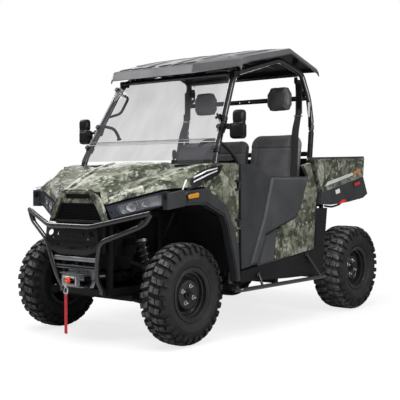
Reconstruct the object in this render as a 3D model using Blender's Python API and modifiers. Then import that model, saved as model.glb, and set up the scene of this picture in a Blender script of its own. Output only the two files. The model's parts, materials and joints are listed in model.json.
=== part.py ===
# A two-seat side-by-side utility quad: open cab, roof, dump bed, front bumper with winch.
# Metres, +X is the vehicle's left, -Y is forward, +Z is up, the tyres stand on z = 0.
import math

import bmesh
import bpy
from mathutils import Matrix, Vector

for old in list(bpy.data.objects):
    bpy.data.objects.remove(old, do_unlink=True)

# Wheels and axles
WHEELBASE = 1.954
FRONT_AXLE_Y = -0.9145
REAR_AXLE_Y = FRONT_AXLE_Y + WHEELBASE
FRONT_TRACK = 1.12
REAR_TRACK = 1.17
FRONT_TYRE_R = 0.314
REAR_TYRE_R = 0.324
FRONT_TYRE_W = 0.19
REAR_TYRE_W = 0.25
FRONT_RIM_W = 0.160
REAR_RIM_W = 0.205
RIM_SEAT_R = 0.150
RIM_FLANGE_R = 0.166
RIM_FLANGE_T = 0.006
FRONT_HUB_OUT = 0.042
REAR_HUB_OUT = 0.051
HUB_BORE_R = 0.032
HUB_PLATE_T = 0.010
WHEEL_SIDES = 32
LUG_H = 0.016
LUG_TAPER = 0.16

# Furthest forward reach, as far from the origin as the rear tyres' backs
FRONT_END = -(REAR_AXLE_Y + REAR_TYRE_R)

# Clearances
FIT = 0.0003
PIN_FIT = 0.0005
SWING = 0.006

# Steering
KINGPIN_X = FRONT_TRACK / 2 - 0.10
KINGPIN_HALF = 0.085
ARM_BACK = 0.1145
ARM_IN = 0.020
RACK_LIFT = 0.052
STEER_CENTRE = Vector((0.31, -0.25, 1.13))
STEER_RISE = math.radians(28.0)
STEER_R = 0.165
STEER_GRIP_R = 0.014

# Chassis
RAIL_X = 0.20
RAIL_W = 0.04
RAIL_LOW = 0.292
RAIL_TOP = 0.340
FRAME_FRONT = FRONT_AXLE_Y - 0.2855
FRAME_REAR = REAR_AXLE_Y + 0.0805
TOWER_BACK = FRONT_AXLE_Y + 0.1745
TAIL_Y = REAR_AXLE_Y + 0.0505
ENGINE_BACK = REAR_AXLE_Y - 0.2445
ENGINE_LONG = 0.25
REAR_BEAM_LOW = 0.73
FLOOR_T = 0.008
FLOOR_Z = RAIL_TOP + FIT + FLOOR_T / 2
OUTRIGGER_X = 0.612
SILL_X = 0.655
SILL_T = 0.030

# Winch
HOOK_LOW = 0.312
STRAP_W = 0.025
STRAP_T = 0.003
STRAP_LOW = 0.068

# Cab
BODY_X = 0.660
PANEL_T = 0.022
DOOR_T = 0.034
CAGE_R = 0.021
WIND_T = 0.005
SEAT_BACK_TOP = 1.36
REST_BAR_Y = 0.4865
BED_WALL = 0.022
PILLAR_FOOT = RAIL_TOP - 0.002 + FIT
B_PILLAR = [(0.535, 0.462, 1.790), (0.576, 0.500, 1.600), (0.600, 0.502, 1.410), (0.584, 0.502, 1.155),
            (0.575, 0.502, 0.80), (0.560, 0.502, 0.52), (0.560, 0.502, PILLAR_FOOT)]
A_PILLAR = [(0.590, -0.483, PILLAR_FOOT), (0.590, -0.483, 0.50), (0.590, -0.520, 0.70),
            (0.597, -0.652, 1.080), (0.593, -0.6355, 1.155), (0.518, -0.3585, 1.657),
            (0.505, -0.300, 1.722)]

# Body panels and their hinges
NOSE_OPEN_TOP = 0.866
HOOD_REAR = -0.720
HOOD_FRONT = -1.250
HOOD_SKIRT = 0.028
HOOD_AXIS = (HOOD_REAR, 1.096)
FENDER_EDGE = [(-0.812, 0.957), (-0.606, 0.846), (-0.541, 0.714), (-0.485, 0.590)]
HINGE_X = BODY_X + 0.004
HINGE_Y = -0.478
BED_AXIS = (1.165, 0.800)
GATE_AXIS = (1.190, 0.872)

PARTS = bpy.data.collections.new("utility_quad")
CUTTERS = bpy.data.collections.new("cutters")
bpy.context.scene.collection.children.link(PARTS)
bpy.context.scene.collection.children.link(CUTTERS)

# Finishes: colour, roughness, metallic
FINISHES = {
    "camo": ((0.20, 0.21, 0.13), 0.35, 0.0),
    "dark_plastic": ((0.035, 0.036, 0.040), 0.55, 0.0),
    "black_plastic": ((0.012, 0.012, 0.013), 0.5, 0.0),
    "black_paint": ((0.010, 0.010, 0.011), 0.3, 0.4),
    "steel": ((0.45, 0.46, 0.48), 0.35, 1.0),
    "rubber": ((0.018, 0.018, 0.019), 0.8, 0.0),
    "clear": ((0.75, 0.78, 0.78), 0.1, 0.0),
    "lamp": ((0.55, 0.58, 0.62), 0.15, 0.2),
    "vinyl": ((0.045, 0.045, 0.048), 0.65, 0.0),
    "red_web": ((0.55, 0.01, 0.03), 0.8, 0.0),
}


def paint(obj, finish):
    """Give one object its own material."""
    colour, rough, metal = FINISHES[finish]
    mat = bpy.data.materials.new(obj.name)
    mat.use_nodes = True
    bsdf = mat.node_tree.nodes["Principled BSDF"]
    bsdf.inputs["Base Color"].default_value = (*colour, 1.0)
    bsdf.inputs["Roughness"].default_value = rough
    bsdf.inputs["Metallic"].default_value = metal
    obj.data.materials.clear()
    obj.data.materials.append(mat)


def from_bmesh(name, bm):
    mesh = bpy.data.meshes.new(name)
    bmesh.ops.recalc_face_normals(bm, faces=bm.faces)
    bm.to_mesh(mesh)
    bm.free()
    obj = bpy.data.objects.new(name, mesh)
    PARTS.objects.link(obj)
    return obj


def baked(obj):
    """Turn an object with modifiers, or a curve, into a plain closed mesh in world space."""
    bpy.context.view_layer.update()
    graph = bpy.context.evaluated_depsgraph_get()
    mesh = bpy.data.meshes.new_from_object(obj.evaluated_get(graph))
    mesh.transform(obj.matrix_world)
    bm = bmesh.new()
    bm.from_mesh(mesh)
    bmesh.ops.remove_doubles(bm, verts=bm.verts, dist=0.00002)
    name = obj.name
    bpy.data.objects.remove(obj, do_unlink=True)
    return from_bmesh(name, bm)


def box(name, low, high):
    bm = bmesh.new()
    bmesh.ops.create_cube(bm, size=1.0)
    size = [b - a for a, b in zip(low, high)]
    centre = [(a + b) / 2 for a, b in zip(low, high)]
    bmesh.ops.scale(bm, vec=size, verts=bm.verts)
    bmesh.ops.translate(bm, vec=centre, verts=bm.verts)
    return from_bmesh(name, bm)


def rounded_box(name, low, high, radius, segments=2):
    obj = box(name, low, high)
    bevel = obj.modifiers.new("round", "BEVEL")
    bevel.width = radius
    bevel.segments = segments
    return baked(obj)


def wedge(name, corners):
    """A box primitive whose eight corners are set: low ring, then high ring, in order."""
    bm = bmesh.new()
    bmesh.ops.create_cube(bm, size=2.0)
    order = [(-1, -1), (1, -1), (1, 1), (-1, 1)]
    for vert in bm.verts:
        ring = order.index((round(vert.co.x), round(vert.co.y)))
        level = 4 if vert.co.z > 0 else 0
        vert.co = Vector(corners[ring + level])
    return from_bmesh(name, bm)


def rod(name, start, end, radius, segments=16):
    """A cylinder from start to end."""
    start, end = Vector(start), Vector(end)
    axis = end - start
    bm = bmesh.new()
    bmesh.ops.create_cone(bm, cap_ends=True, segments=segments,
                          radius1=radius, radius2=radius, depth=axis.length)
    turn = axis.to_track_quat("Z", "Y").to_matrix().to_4x4()
    bmesh.ops.transform(bm, matrix=Matrix.Translation((start + end) / 2) @ turn, verts=bm.verts)
    return from_bmesh(name, bm)


def bent(points, reach, steps=2):
    """Round the inner corners of a path with short arcs of chords."""
    points = [Vector(p) for p in points]
    path = [points[0]]
    for before, here, after in zip(points, points[1:], points[2:]):
        a = here + (before - here).normalized() * min(reach, (before - here).length * 0.45)
        b = here + (after - here).normalized() * min(reach, (after - here).length * 0.45)
        for k in range(steps + 1):
            t = k / steps
            path.append(a * (1 - t) ** 2 + here * 2 * t * (1 - t) + b * t ** 2)
    path.append(points[-1])
    return path


def tube(name, points, radius, reach=0.05, sides=2):
    """A bent tube: a poly curve with a round bevel and filled caps."""
    curve = bpy.data.curves.new(name, "CURVE")
    curve.dimensions = "3D"
    curve.bevel_depth = radius
    curve.bevel_resolution = sides
    curve.use_fill_caps = True
    path = bent(points, reach)
    spline = curve.splines.new("POLY")
    spline.points.add(len(path) - 1)
    for point, co in zip(spline.points, path):
        point.co = (*co, 1.0)
    obj = bpy.data.objects.new(name, curve)
    PARTS.objects.link(obj)
    return baked(obj)


def plate(name, outline, low, high, axis):
    """A flat outline extruded from low to high along X or Y.

    The outline is (y, z) for axis X and (x, z) for axis Y."""
    curve = bpy.data.curves.new(name, "CURVE")
    curve.dimensions = "2D"
    curve.fill_mode = "BOTH"
    curve.extrude = (high - low) / 2
    spline = curve.splines.new("POLY")
    spline.points.add(len(outline) - 1)
    for point, (u, v) in zip(spline.points, outline):
        point.co = (u, v, 0.0, 1.0)
    spline.use_cyclic_u = True
    obj = bpy.data.objects.new(name, curve)
    PARTS.objects.link(obj)
    middle = (high + low) / 2
    if axis == "X":
        obj.matrix_world = Matrix(((0, 0, 1, middle), (1, 0, 0, 0), (0, 1, 0, 0), (0, 0, 0, 1)))
    else:
        obj.matrix_world = Matrix(((1, 0, 0, 0), (0, 0, -1, middle), (0, 1, 0, 0), (0, 0, 0, 1)))
    return baked(obj)


def sheet(name, rows, thickness, offset=0.0):
    """A panel: rows of points make an open surface, which Solidify gives its wall."""
    bm = bmesh.new()
    grid = [[bm.verts.new(p) for p in row] for row in rows]
    for upper, lower in zip(grid, grid[1:]):
        for a, b, c, d in zip(upper, upper[1:], lower[1:], lower):
            bm.faces.new((a, b, c, d))
    mesh = bpy.data.meshes.new(name)
    bm.to_mesh(mesh)
    bm.free()
    obj = bpy.data.objects.new(name, mesh)
    PARTS.objects.link(obj)
    wall = obj.modifiers.new("wall", "SOLIDIFY")
    wall.thickness = thickness
    wall.offset = offset
    wall.use_even_offset = True
    return baked(obj)


def turned(name, profile, centre, steps):
    """Turn a closed (radius, outboard) profile about an axis along X."""
    bm = bmesh.new()
    verts = [bm.verts.new((r, 0.0, a)) for r, a in profile]
    for first, second in zip(verts, verts[1:] + verts[:1]):
        bm.edges.new((first, second))
    mesh = bpy.data.meshes.new(name)
    bm.to_mesh(mesh)
    bm.free()
    obj = bpy.data.objects.new(name, mesh)
    PARTS.objects.link(obj)
    screw = obj.modifiers.new("turn", "SCREW")
    screw.steps = steps
    screw.render_steps = steps
    screw.use_merge_vertices = True
    screw.merge_threshold = 0.00005
    obj.matrix_world = Matrix.Translation(centre) @ Matrix.Rotation(math.pi / 2, 4, "Y")
    return baked(obj)


def fuse(name, pieces):
    """Join overlapping solids into one body."""
    body = pieces[0]
    body.name = name
    for piece in pieces[1:]:
        join = body.modifiers.new("join", "BOOLEAN")
        join.operation = "UNION"
        join.solver = "EXACT"
        join.object = piece
        body = baked(body)
        bpy.data.objects.remove(piece, do_unlink=True)
    body.name = name
    body.data.name = name
    return body


def cut(body, cutters):
    """Take the cutters' shapes out of a body; the cutters stay as wire guides."""
    for cutter in cutters:
        PARTS.objects.unlink(cutter)
        CUTTERS.objects.link(cutter)
        cutter.hide_render = True
        cutter.display_type = "WIRE"
        cutter.name = "cut_" + cutter.name
        slot = body.modifiers.new("cut", "BOOLEAN")
        slot.operation = "DIFFERENCE"
        slot.solver = "EXACT"
        slot.object = cutter
        name = body.name
        body = baked(body)
        body.name = name
    return body


def mirrored(name, obj):
    """The other side's copy of an object."""
    mesh = obj.data.copy()
    mesh.transform(Matrix.Scale(-1.0, 4, (1, 0, 0)))
    bm = bmesh.new()
    bm.from_mesh(mesh)
    bmesh.ops.reverse_faces(bm, faces=bm.faces)
    return from_bmesh(name, bm)


def both(base, obj, finish):
    """Name a left piece, and add its mirror image on the right."""
    obj.name = base + "_left"
    right = mirrored(base + "_right", obj)
    for piece in (obj, right):
        done(piece, finish)
    return obj, right


def done(obj, finish):
    """Finish a node: smooth shading with sharp edges, and its material."""
    obj.data.shade_smooth()
    obj.data.set_sharp_from_angle(angle=math.radians(35.0))
    obj.data.name = obj.name
    paint(obj, finish)
    return obj


def hinge_point(name, location, children):
    """An empty on a joint's axis, which carries the moving pieces."""
    empty = bpy.data.objects.new(name, None)
    empty.empty_display_size = 0.05
    empty.location = location
    PARTS.objects.link(empty)
    bpy.context.view_layer.update()
    for child in children:
        child.parent = empty
        child.matrix_parent_inverse = empty.matrix_world.inverted()
    return empty


def side_box(name, low, high, side):
    """A box given for the left side, put on either side."""
    if side > 0:
        return box(name, low, high)
    return box(name, (-high[0], low[1], low[2]), (-low[0], high[1], high[2]))


def flip(point, side):
    return (point[0] * side, point[1], point[2])


# Wheels

def tread(body, centre, radius, half):
    """Raise each facet of the crown, left and right, into a lug that leans over the shoulder."""
    step = 2 * math.pi / WHEEL_SIDES
    tip = radius / math.cos(LUG_TAPER * step)
    floor = radius - LUG_H
    bm = bmesh.new()
    bm.from_mesh(body.data)
    cells = {}
    for face in bm.faces:
        rel = face.calc_center_median() - centre
        if math.hypot(rel.y, rel.z) > floor - 0.025:
            cell = int(math.atan2(rel.z, rel.y) % (2 * math.pi) / step)
            cells.setdefault((cell, rel.x > 0), []).append(face)
    for (cell, outboard), faces in cells.items():
        middle = (cell + 0.5) * step
        raised = bmesh.ops.extrude_face_region(bm, geom=faces)["geom"]
        bmesh.ops.delete(bm, geom=[face for face in faces if face.is_valid], context="FACES_ONLY")
        for vert in [item for item in raised if isinstance(item, bmesh.types.BMVert)]:
            rel = vert.co - centre
            if abs(rel.x) < 0.001:
                r, across, lean = tip, 0.006, -2 * LUG_TAPER
            elif math.hypot(rel.y, rel.z) > floor - 0.001:
                r, across, lean = tip, half - 0.050, 0.0
            else:
                r, across, lean = radius - 0.036, half - 0.003, LUG_TAPER
            beside = math.sin(math.atan2(rel.z, rel.y) - middle)
            turn = middle + math.copysign((0.5 - LUG_TAPER) * step, beside) + lean * step
            side = 1 if outboard else -1
            vert.co = centre + Vector((side * across, r * math.cos(turn), r * math.sin(turn)))
    name = body.name
    bpy.data.objects.remove(body, do_unlink=True)
    return from_bmesh(name, bm)


def tyre(name, centre, radius, width, rim_width):
    """A solid tyre with a ring of lugs on each half of its tread."""
    seat = RIM_SEAT_R + FIT
    bead = rim_width / 2 - RIM_FLANGE_T - FIT
    half = width / 2
    floor = radius - LUG_H
    outer = [
        (seat, bead),
        (RIM_FLANGE_R + 0.006, bead),
        (RIM_FLANGE_R + 0.042, half),
        (floor - 0.026, half - 0.008),
        (floor, half - 0.042),
    ]
    profile = outer + [(floor, 0.0)] + [(r, -a) for r, a in reversed(outer)]
    return done(tread(turned(name, profile, centre, WHEEL_SIDES), centre, radius, half), "rubber")


def rim(name, centre, side, rim_width, hub_out):
    """A pressed steel rim: barrel, dish and hub plate with a bore."""
    edge = rim_width / 2
    seat = RIM_SEAT_R
    well = seat - 0.006
    profile = [
        (RIM_FLANGE_R, edge),
        (RIM_FLANGE_R, edge - RIM_FLANGE_T),
        (seat, edge - RIM_FLANGE_T),
        (seat, -edge + RIM_FLANGE_T),
        (RIM_FLANGE_R, -edge + RIM_FLANGE_T),
        (RIM_FLANGE_R, -edge),
        (well, -edge),
        (well, hub_out - 0.045),
        (0.090, hub_out - HUB_PLATE_T),
        (HUB_BORE_R, hub_out - HUB_PLATE_T),
        (HUB_BORE_R, hub_out),
        (0.084, hub_out),
        (0.102, hub_out - 0.020),
        (0.132, edge - 0.034),
        (0.146, edge),
    ]
    profile = [(r, a * side) for r, a in profile]
    return done(turned(name, profile, centre, WHEEL_SIDES), "black_paint")


def wheel_centre(front, side):
    if front:
        return Vector((side * FRONT_TRACK / 2, FRONT_AXLE_Y, FRONT_TYRE_R))
    return Vector((side * REAR_TRACK / 2, REAR_AXLE_Y, REAR_TYRE_R))


def wheel(front, side):
    """One wheel's tyre and rim."""
    place = ("front_" if front else "rear_") + ("left" if side > 0 else "right")
    centre = wheel_centre(front, side)
    if front:
        sizes = (FRONT_TYRE_R, FRONT_TYRE_W, FRONT_RIM_W, FRONT_HUB_OUT)
    else:
        sizes = (REAR_TYRE_R, REAR_TYRE_W, REAR_RIM_W, REAR_HUB_OUT)
    radius, width, rim_width, hub_out = sizes
    return (tyre("tyre_" + place, centre, radius, width, rim_width),
            rim("rim_" + place, centre, side, rim_width, hub_out))


def knuckle(side):
    """Upright, spindle and steering arm, turning about the kingpin."""
    axle = FRONT_TYRE_R
    x, y = KINGPIN_X, FRONT_AXLE_Y
    hub_x = FRONT_TRACK / 2 + FRONT_HUB_OUT
    arm_z = axle + 0.032
    post = rod("post", (x, y, axle - KINGPIN_HALF), (x, y, axle + KINGPIN_HALF), 0.020, 12)
    block = box("block", (x - 0.015, y - 0.033, axle - 0.045), (x + 0.015, y + 0.033, axle + 0.045))
    spindle = rod("spindle", (x, y, axle), (hub_x, y, axle), HUB_BORE_R - PIN_FIT, 24)
    flange = rod("flange", (x + 0.035, y, axle), (x + 0.045, y, axle), 0.062, 16)
    arm = box("arm", (x - ARM_IN - 0.013, y + 0.01, arm_z - 0.006),
              (x - ARM_IN + 0.013, y + ARM_BACK + 0.012, arm_z + 0.006))
    body = fuse("knuckle", [block, post, spindle, flange, arm])
    if side < 0:
        other = mirrored("knuckle_right", body)
        bpy.data.objects.remove(body, do_unlink=True)
        body = other
    body.name = "knuckle_left" if side > 0 else "knuckle_right"
    return done(body, "black_paint")


def front_wheels():
    for side in (1, -1):
        word = "left" if side > 0 else "right"
        turning = knuckle(side)
        tyre_obj, rim_obj = wheel(True, side)
        pin = hinge_point("steer_axis_" + word, (side * KINGPIN_X, FRONT_AXLE_Y, FRONT_TYRE_R), [turning])
        spin = hinge_point("spin_front_" + word, wheel_centre(True, side), [tyre_obj, rim_obj])
        spin.parent = pin
        spin.matrix_parent_inverse = pin.matrix_world.inverted()


def rear_wheels():
    for side in (1, -1):
        word = "left" if side > 0 else "right"
        hinge_point("spin_rear_" + word, wheel_centre(False, side), wheel(False, side))


# Steering

def rack_z():
    return FRONT_TYRE_R + RACK_LIFT


def steering_rack():
    """Rack bar with both tie rods; the outer ball pivots are open."""
    y = FRONT_AXLE_Y + ARM_BACK
    ball = KINGPIN_X - ARM_IN
    bar = rod("bar", (-0.215, y, rack_z()), (0.215, y, rack_z()), 0.014, 12)
    ties = rod("ties", (-ball - 0.008, y, rack_z()), (ball + 0.008, y, rack_z()), 0.009, 8)
    body = done(fuse("steering_rack", [bar, ties]), "steel")
    hinge_point("rack_axis", (0, y, rack_z()), [body])


def steering_axis():
    return Vector((0, math.cos(STEER_RISE), math.sin(STEER_RISE)))


def steering_wheel():
    """Rim, three spokes and a hub, square to the column."""
    bpy.ops.mesh.primitive_torus_add(major_radius=STEER_R, minor_radius=STEER_GRIP_R,
                                     major_segments=24, minor_segments=6)
    grip = bpy.context.object
    for owner in list(grip.users_collection):
        owner.objects.unlink(grip)
    PARTS.objects.link(grip)
    grip.name = "grip"
    hub = rod("hub", (0, 0, -0.045), (0, 0, 0.004), 0.034, 12)
    spokes = [box("spoke", (-STEER_R, -0.016, -0.018), (STEER_R, 0.016, -0.006)),
              box("spoke_low", (-0.018, -STEER_R, -0.018), (0.018, 0, -0.006))]
    body = fuse("steering_wheel", [baked(grip), hub] + spokes)
    turn = Matrix.Rotation(STEER_RISE - math.pi / 2, 4, "X") @ Matrix.Rotation(math.pi, 4, "Z")
    body.data.transform(Matrix.Translation(STEER_CENTRE) @ turn)
    done(body, "black_plastic")
    hinge_point("steering_wheel_axis", STEER_CENTRE, [body])


def column_end(distance):
    return STEER_CENTRE - steering_axis() * distance


def steering_column():
    """Column tube behind the wheel, and the shaft down to the rack's pinion."""
    joint = column_end(0.36)
    pinion = Vector((0.10, FRONT_AXLE_Y + ARM_BACK + 0.05, rack_z() + 0.03))
    upper = rod("upper", column_end(0.045 + PIN_FIT), joint, 0.024)
    shaft = tube("shaft", [joint + steering_axis() * 0.01, joint - steering_axis() * 0.02, pinion],
                 0.011, 0.03)
    stalk = rod("stalk", column_end(0.06), column_end(0.06) + Vector((0.09, 0, 0.01)), 0.006, 8)
    return done(fuse("steering_column", [upper, shaft, stalk]), "black_plastic")


# Chassis

def cross(name, y, low, high, x):
    return box(name, (-x, y - 0.02, low), (x, y + 0.02, high))


def frame():
    """Rails, cross members, front and rear towers, hitch receiver."""
    rails = [side_box("rail", (RAIL_X - RAIL_W / 2, FRAME_FRONT, RAIL_LOW),
                      (RAIL_X + RAIL_W / 2, FRAME_REAR, RAIL_TOP), s) for s in (1, -1)]
    inset = 0.002
    low, high = RAIL_LOW + inset, RAIL_TOP - inset
    members = [cross("member", y, low, high, RAIL_X) for y in (FRAME_FRONT + 0.021, TOWER_BACK, TAIL_Y)]
    outriggers = [cross("outrigger", y, low, high, OUTRIGGER_X) for y in (-0.47, 0.03, 0.50)]
    skid = box("skid", (-RAIL_X - 0.03, FRAME_FRONT + 0.01, RAIL_LOW - 0.006),
               (RAIL_X + 0.03, FRAME_REAR - 0.02, RAIL_LOW + 0.001))
    towers = []
    for s in (1, -1):
        for y in (FRAME_FRONT + 0.021, TOWER_BACK):
            towers.append(side_box("post", (RAIL_X - 0.015, y - 0.015, RAIL_TOP - 0.004),
                                   (RAIL_X + 0.015, y + 0.015, 0.80), s))
        towers.append(side_box("beam", (RAIL_X - 0.014, FRAME_FRONT + 0.02, 0.77),
                               (RAIL_X + 0.014, TOWER_BACK, 0.798), s))
        for y in (ENGINE_BACK + 0.025, TAIL_Y):
            towers.append(side_box("rear_post", (RAIL_X - 0.015, y - 0.015, RAIL_TOP - 0.004),
                                   (RAIL_X + 0.015, y + 0.015, 0.76), s))
        towers.append(side_box("rear_beam", (RAIL_X - 0.014, 0.485, REAR_BEAM_LOW),
                               (RAIL_X + 0.014, TAIL_Y, 0.758), s))
        towers.append(side_box("mid_post", (RAIL_X - 0.0155, 0.485, RAIL_TOP - 0.004),
                               (RAIL_X + 0.0155, 0.515, 0.7585), s))
    towers.append(cross("front_head", FRAME_FRONT + 0.021, 0.765, 0.801, RAIL_X))
    towers.append(cross("rear_head", TAIL_Y, 0.725, 0.759, 0.30))
    towers.append(box("bed_base", (-0.30, 1.085, 0.750), (0.30, 1.178, 0.770)))
    for s in (1, -1):
        for x in (0.215, 0.275 + PIN_FIT):
            towers.append(side_box("bed_ear", (x, 1.150, 0.765), (x + 0.025 - PIN_FIT, 1.180, 0.812), s))
    hitch = box("hitch", (-0.035, FRAME_REAR - 0.06, 0.335), (0.035, 1.30, 0.405))
    bore = box("hitch_bore", (-0.0255, 1.15, 0.3445), (0.0255, 1.32, 0.3955))
    body = fuse("frame", [skid] + rails + members + outriggers + towers + [hitch])
    return done(cut(body, [bore]), "black_paint")


def floor_tub():
    """Cab floor, firewall, sills and rear guards in one moulding, with two pedals."""
    profile = [(-0.478, 0.800), (-0.505, 0.640), (-0.500, 0.400), (-0.470, FLOOR_Z), (0.46, FLOOR_Z)]
    rows = [[(x, y, z) for x in (-0.555, 0.555)] for y, z in profile]
    pieces = [sheet("pan", rows, FLOOR_T, 0.0)]
    sill_line = [(-0.450, 0.350), (-0.450, 0.415), (0.447, 0.507), (0.474, 0.800), (0.640, 0.800),
                 (0.600, 0.500), (0.575, 0.312), (0.10, 0.325)]
    for s in (1, -1):
        sill = plate("sill", sill_line, SILL_X - SILL_T, SILL_X, "X")
        if s < 0:
            other = mirrored("sill_r", sill)
            bpy.data.objects.remove(sill, do_unlink=True)
            sill = other
        pieces.append(sill)
        pieces.append(side_box("shelf", (0.545, -0.44, FLOOR_Z - 0.0035),
                               (SILL_X - 0.01, 0.45, FLOOR_Z + 0.0035), s))
    for x, wide in ((0.22, 0.045), (0.36, 0.030)):
        pieces.append(rod("pedal_arm", (x, -0.51, 0.60), (x, -0.43, 0.47), 0.008, 8))
        pieces.append(box("pedal", (x - wide, -0.437, 0.43), (x + wide, -0.423, 0.50)))
    return done(fuse("floor_tub", pieces), "black_plastic")


def engine():
    """Engine and gearbox as one plain block."""
    front = ENGINE_BACK - ENGINE_LONG
    block = rounded_box("engine", (-0.165, front, RAIL_TOP + 0.012), (0.165, ENGINE_BACK, 0.70), 0.02, 1)
    feet = [side_box("foot", (0.150, front + 0.055, RAIL_TOP + FIT),
                     (0.215, front + 0.115, RAIL_TOP + 0.03), s) for s in (1, -1)]
    return done(fuse("engine", [block] + feet), "steel")


def wishbone(side, inner_x, inner_z, spread, outer, axle_y, radius=0.013):
    """Two converging tubes from the chassis to one ball joint."""
    return [rod("leg", flip((inner_x, axle_y + dy, inner_z), side), flip(outer, side), radius, 8)
            for dy in (-spread, spread)]


def front_suspension():
    """Bulkhead, wishbones, shocks and rack housing of both sides."""
    y = FRONT_AXLE_Y
    axle = FRONT_TYRE_R
    low_z = axle - KINGPIN_HALF - PIN_FIT
    high_z = axle + KINGPIN_HALF + PIN_FIT
    hull = box("hull", (-0.12, y - 0.14, 0.44), (0.12, y + 0.055, 0.66))
    pieces = [hull]
    for s in (1, -1):
        for dy in (-0.12, 0.045):
            pieces.append(side_box("ear", (0.10, y + dy - 0.012, 0.47),
                                   (RAIL_X + 0.04, y + dy + 0.012, 0.53), s))
            pieces.append(rod("high_leg", flip((RAIL_X + 0.03, y + dy, 0.50), s),
                              flip((KINGPIN_X, y, high_z + 0.024), s), 0.013, 8))
        pieces.append(rod("high_pad", flip((KINGPIN_X, y, high_z), s),
                          flip((KINGPIN_X, y, high_z + 0.030), s), 0.022, 12))
        pieces.append(rod("low_pad", flip((KINGPIN_X, y, low_z), s),
                          flip((KINGPIN_X, y, low_z - 0.030), s), 0.022, 12))
        pieces += wishbone(s, RAIL_X + 0.035, 0.262, 0.10, (KINGPIN_X, y, low_z - 0.024), y)
        shock_y = y - 0.05
        pieces.append(rod("shock", flip((KINGPIN_X - 0.085, shock_y, 0.232), s),
                          flip((KINGPIN_X - 0.160, shock_y, 0.46), s), 0.014, 8))
        pieces.append(rod("spring", flip((KINGPIN_X - 0.102, shock_y, 0.285), s),
                          flip((KINGPIN_X - 0.198, shock_y, 0.64), s), 0.026, 12))
        pieces.append(side_box("shock_top", (0.10, shock_y - 0.02, 0.60),
                               (KINGPIN_X - 0.180, shock_y + 0.02, 0.635), s))
    pieces.append(box("low_bar", (-RAIL_X - 0.045, y - 0.115, 0.250),
                      (RAIL_X + 0.045, y + 0.115, RAIL_LOW - 0.006 - FIT)))
    rack_y = y + ARM_BACK
    housing = rod("housing", (-0.145, rack_y, rack_z()), (0.145, rack_y, rack_z()), 0.026, 12)
    strut = box("strut", (-0.05, rack_y - 0.02, rack_z() + 0.018), (0.05, rack_y + 0.012, 0.46))
    bridge = box("bridge", (-0.05, y + 0.04, 0.445), (0.05, rack_y + 0.012, 0.47))
    pieces += [housing, strut, bridge]
    bore = rod("rack_bore", (-0.2, rack_y, rack_z()), (0.2, rack_y, rack_z()), 0.014 + 0.0008, 12)
    body = fuse("front_suspension", pieces)
    return done(cut(body, [bore]), "black_paint")


def rear_suspension():
    """Wishbones, uprights with spindles, and shocks of both sides."""
    y = REAR_AXLE_Y
    axle = REAR_TYRE_R
    hub_x = REAR_TRACK / 2 + REAR_HUB_OUT
    post_x = REAR_TRACK / 2 - 0.13
    pieces = [box("low_bar", (-RAIL_X - 0.045, y - 0.12, 0.250),
                  (RAIL_X + 0.045, y + 0.04, RAIL_LOW - 0.006 - FIT))]
    upper = box("upper_bar", (-RAIL_X - 0.045, y - 0.02, 0.50), (RAIL_X + 0.045, y + 0.02, 0.54))
    pieces.append(upper)
    for s in (1, -1):
        pieces.append(side_box("upright", (post_x - 0.02, y - 0.03, axle - 0.09),
                               (post_x + 0.02, y + 0.03, axle + 0.10), s))
        pieces.append(rod("spindle", flip((post_x, y, axle), s), flip((hub_x, y, axle), s),
                          HUB_BORE_R - PIN_FIT, 24))
        pieces.append(rod("flange", flip((post_x + 0.04, y, axle), s),
                          flip((post_x + 0.05, y, axle), s), 0.062, 16))
        pieces += wishbone(s, RAIL_X + 0.030, 0.265, 0.09, (post_x - 0.005, y, axle - 0.075), y - 0.03)
        pieces.append(rod("upper_link", flip((RAIL_X + 0.02, y, 0.52), s),
                          flip((post_x, y, axle + 0.085), s), 0.014, 10))
        shock_y = y - 0.07
        pieces.append(rod("shock", flip((post_x - 0.07, shock_y, 0.257), s),
                          flip((post_x - 0.135, shock_y, 0.50), s), 0.014, 8))
        pieces.append(rod("spring", flip((post_x - 0.085, shock_y, 0.33), s),
                          flip((post_x - 0.17, shock_y, 0.655), s), 0.028, 12))
        pieces.append(rod("strut", flip((post_x - 0.17, shock_y, 0.64), s),
                          flip((RAIL_X + 0.03, shock_y, 0.68), s), 0.012, 8))
        pieces.append(side_box("strut_foot", (RAIL_X + 0.015 + FIT, shock_y - 0.018, 0.52),
                               (RAIL_X + 0.04, y + 0.018, 0.70), s))
    return done(fuse("rear_suspension", pieces), "black_paint")


def half_shafts(y, inner, outer, radius):
    """Sloping shafts of both sides, with a boot at each outer end."""
    pieces = []
    for s in (1, -1):
        start, end = Vector(flip((inner[0], y, inner[1]), s)), Vector(flip((outer[0], y, outer[1]), s))
        pieces.append(rod("shaft", start, end, radius, 12))
        pieces.append(rod("boot", end + (start - end).normalized() * 0.035, end, radius * 2, 12))
    return pieces


def front_drive():
    """Front differential and half shafts."""
    y = FRONT_AXLE_Y
    low = RAIL_TOP + FIT
    case = rounded_box("case", (-0.11, y - 0.085, low + 0.006), (0.11, y + 0.06, 0.430), 0.015, 1)
    feet = box("feet", (-RAIL_X, y + 0.02, low), (RAIL_X, y + 0.05, low + 0.012))
    shafts = half_shafts(y, (0.10, 0.385), (KINGPIN_X - 0.055, FRONT_TYRE_R + 0.004), 0.012)
    return done(fuse("front_drive", [case, feet] + shafts), "black_paint")


def rear_drive():
    """Rear differential and half shafts."""
    y = REAR_AXLE_Y
    low = RAIL_TOP + FIT
    case = rounded_box("case", (-0.12, y - 0.13, low + 0.006), (0.12, y + 0.018, 0.47), 0.015, 1)
    feet = box("feet", (-RAIL_X, y - 0.10, low), (RAIL_X, y - 0.07, low + 0.012))
    shafts = half_shafts(y, (0.11, 0.395), (REAR_TRACK / 2 - 0.1585, REAR_TYRE_R + 0.002), 0.013)
    return done(fuse("rear_drive", [case, feet] + shafts), "black_paint")


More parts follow.
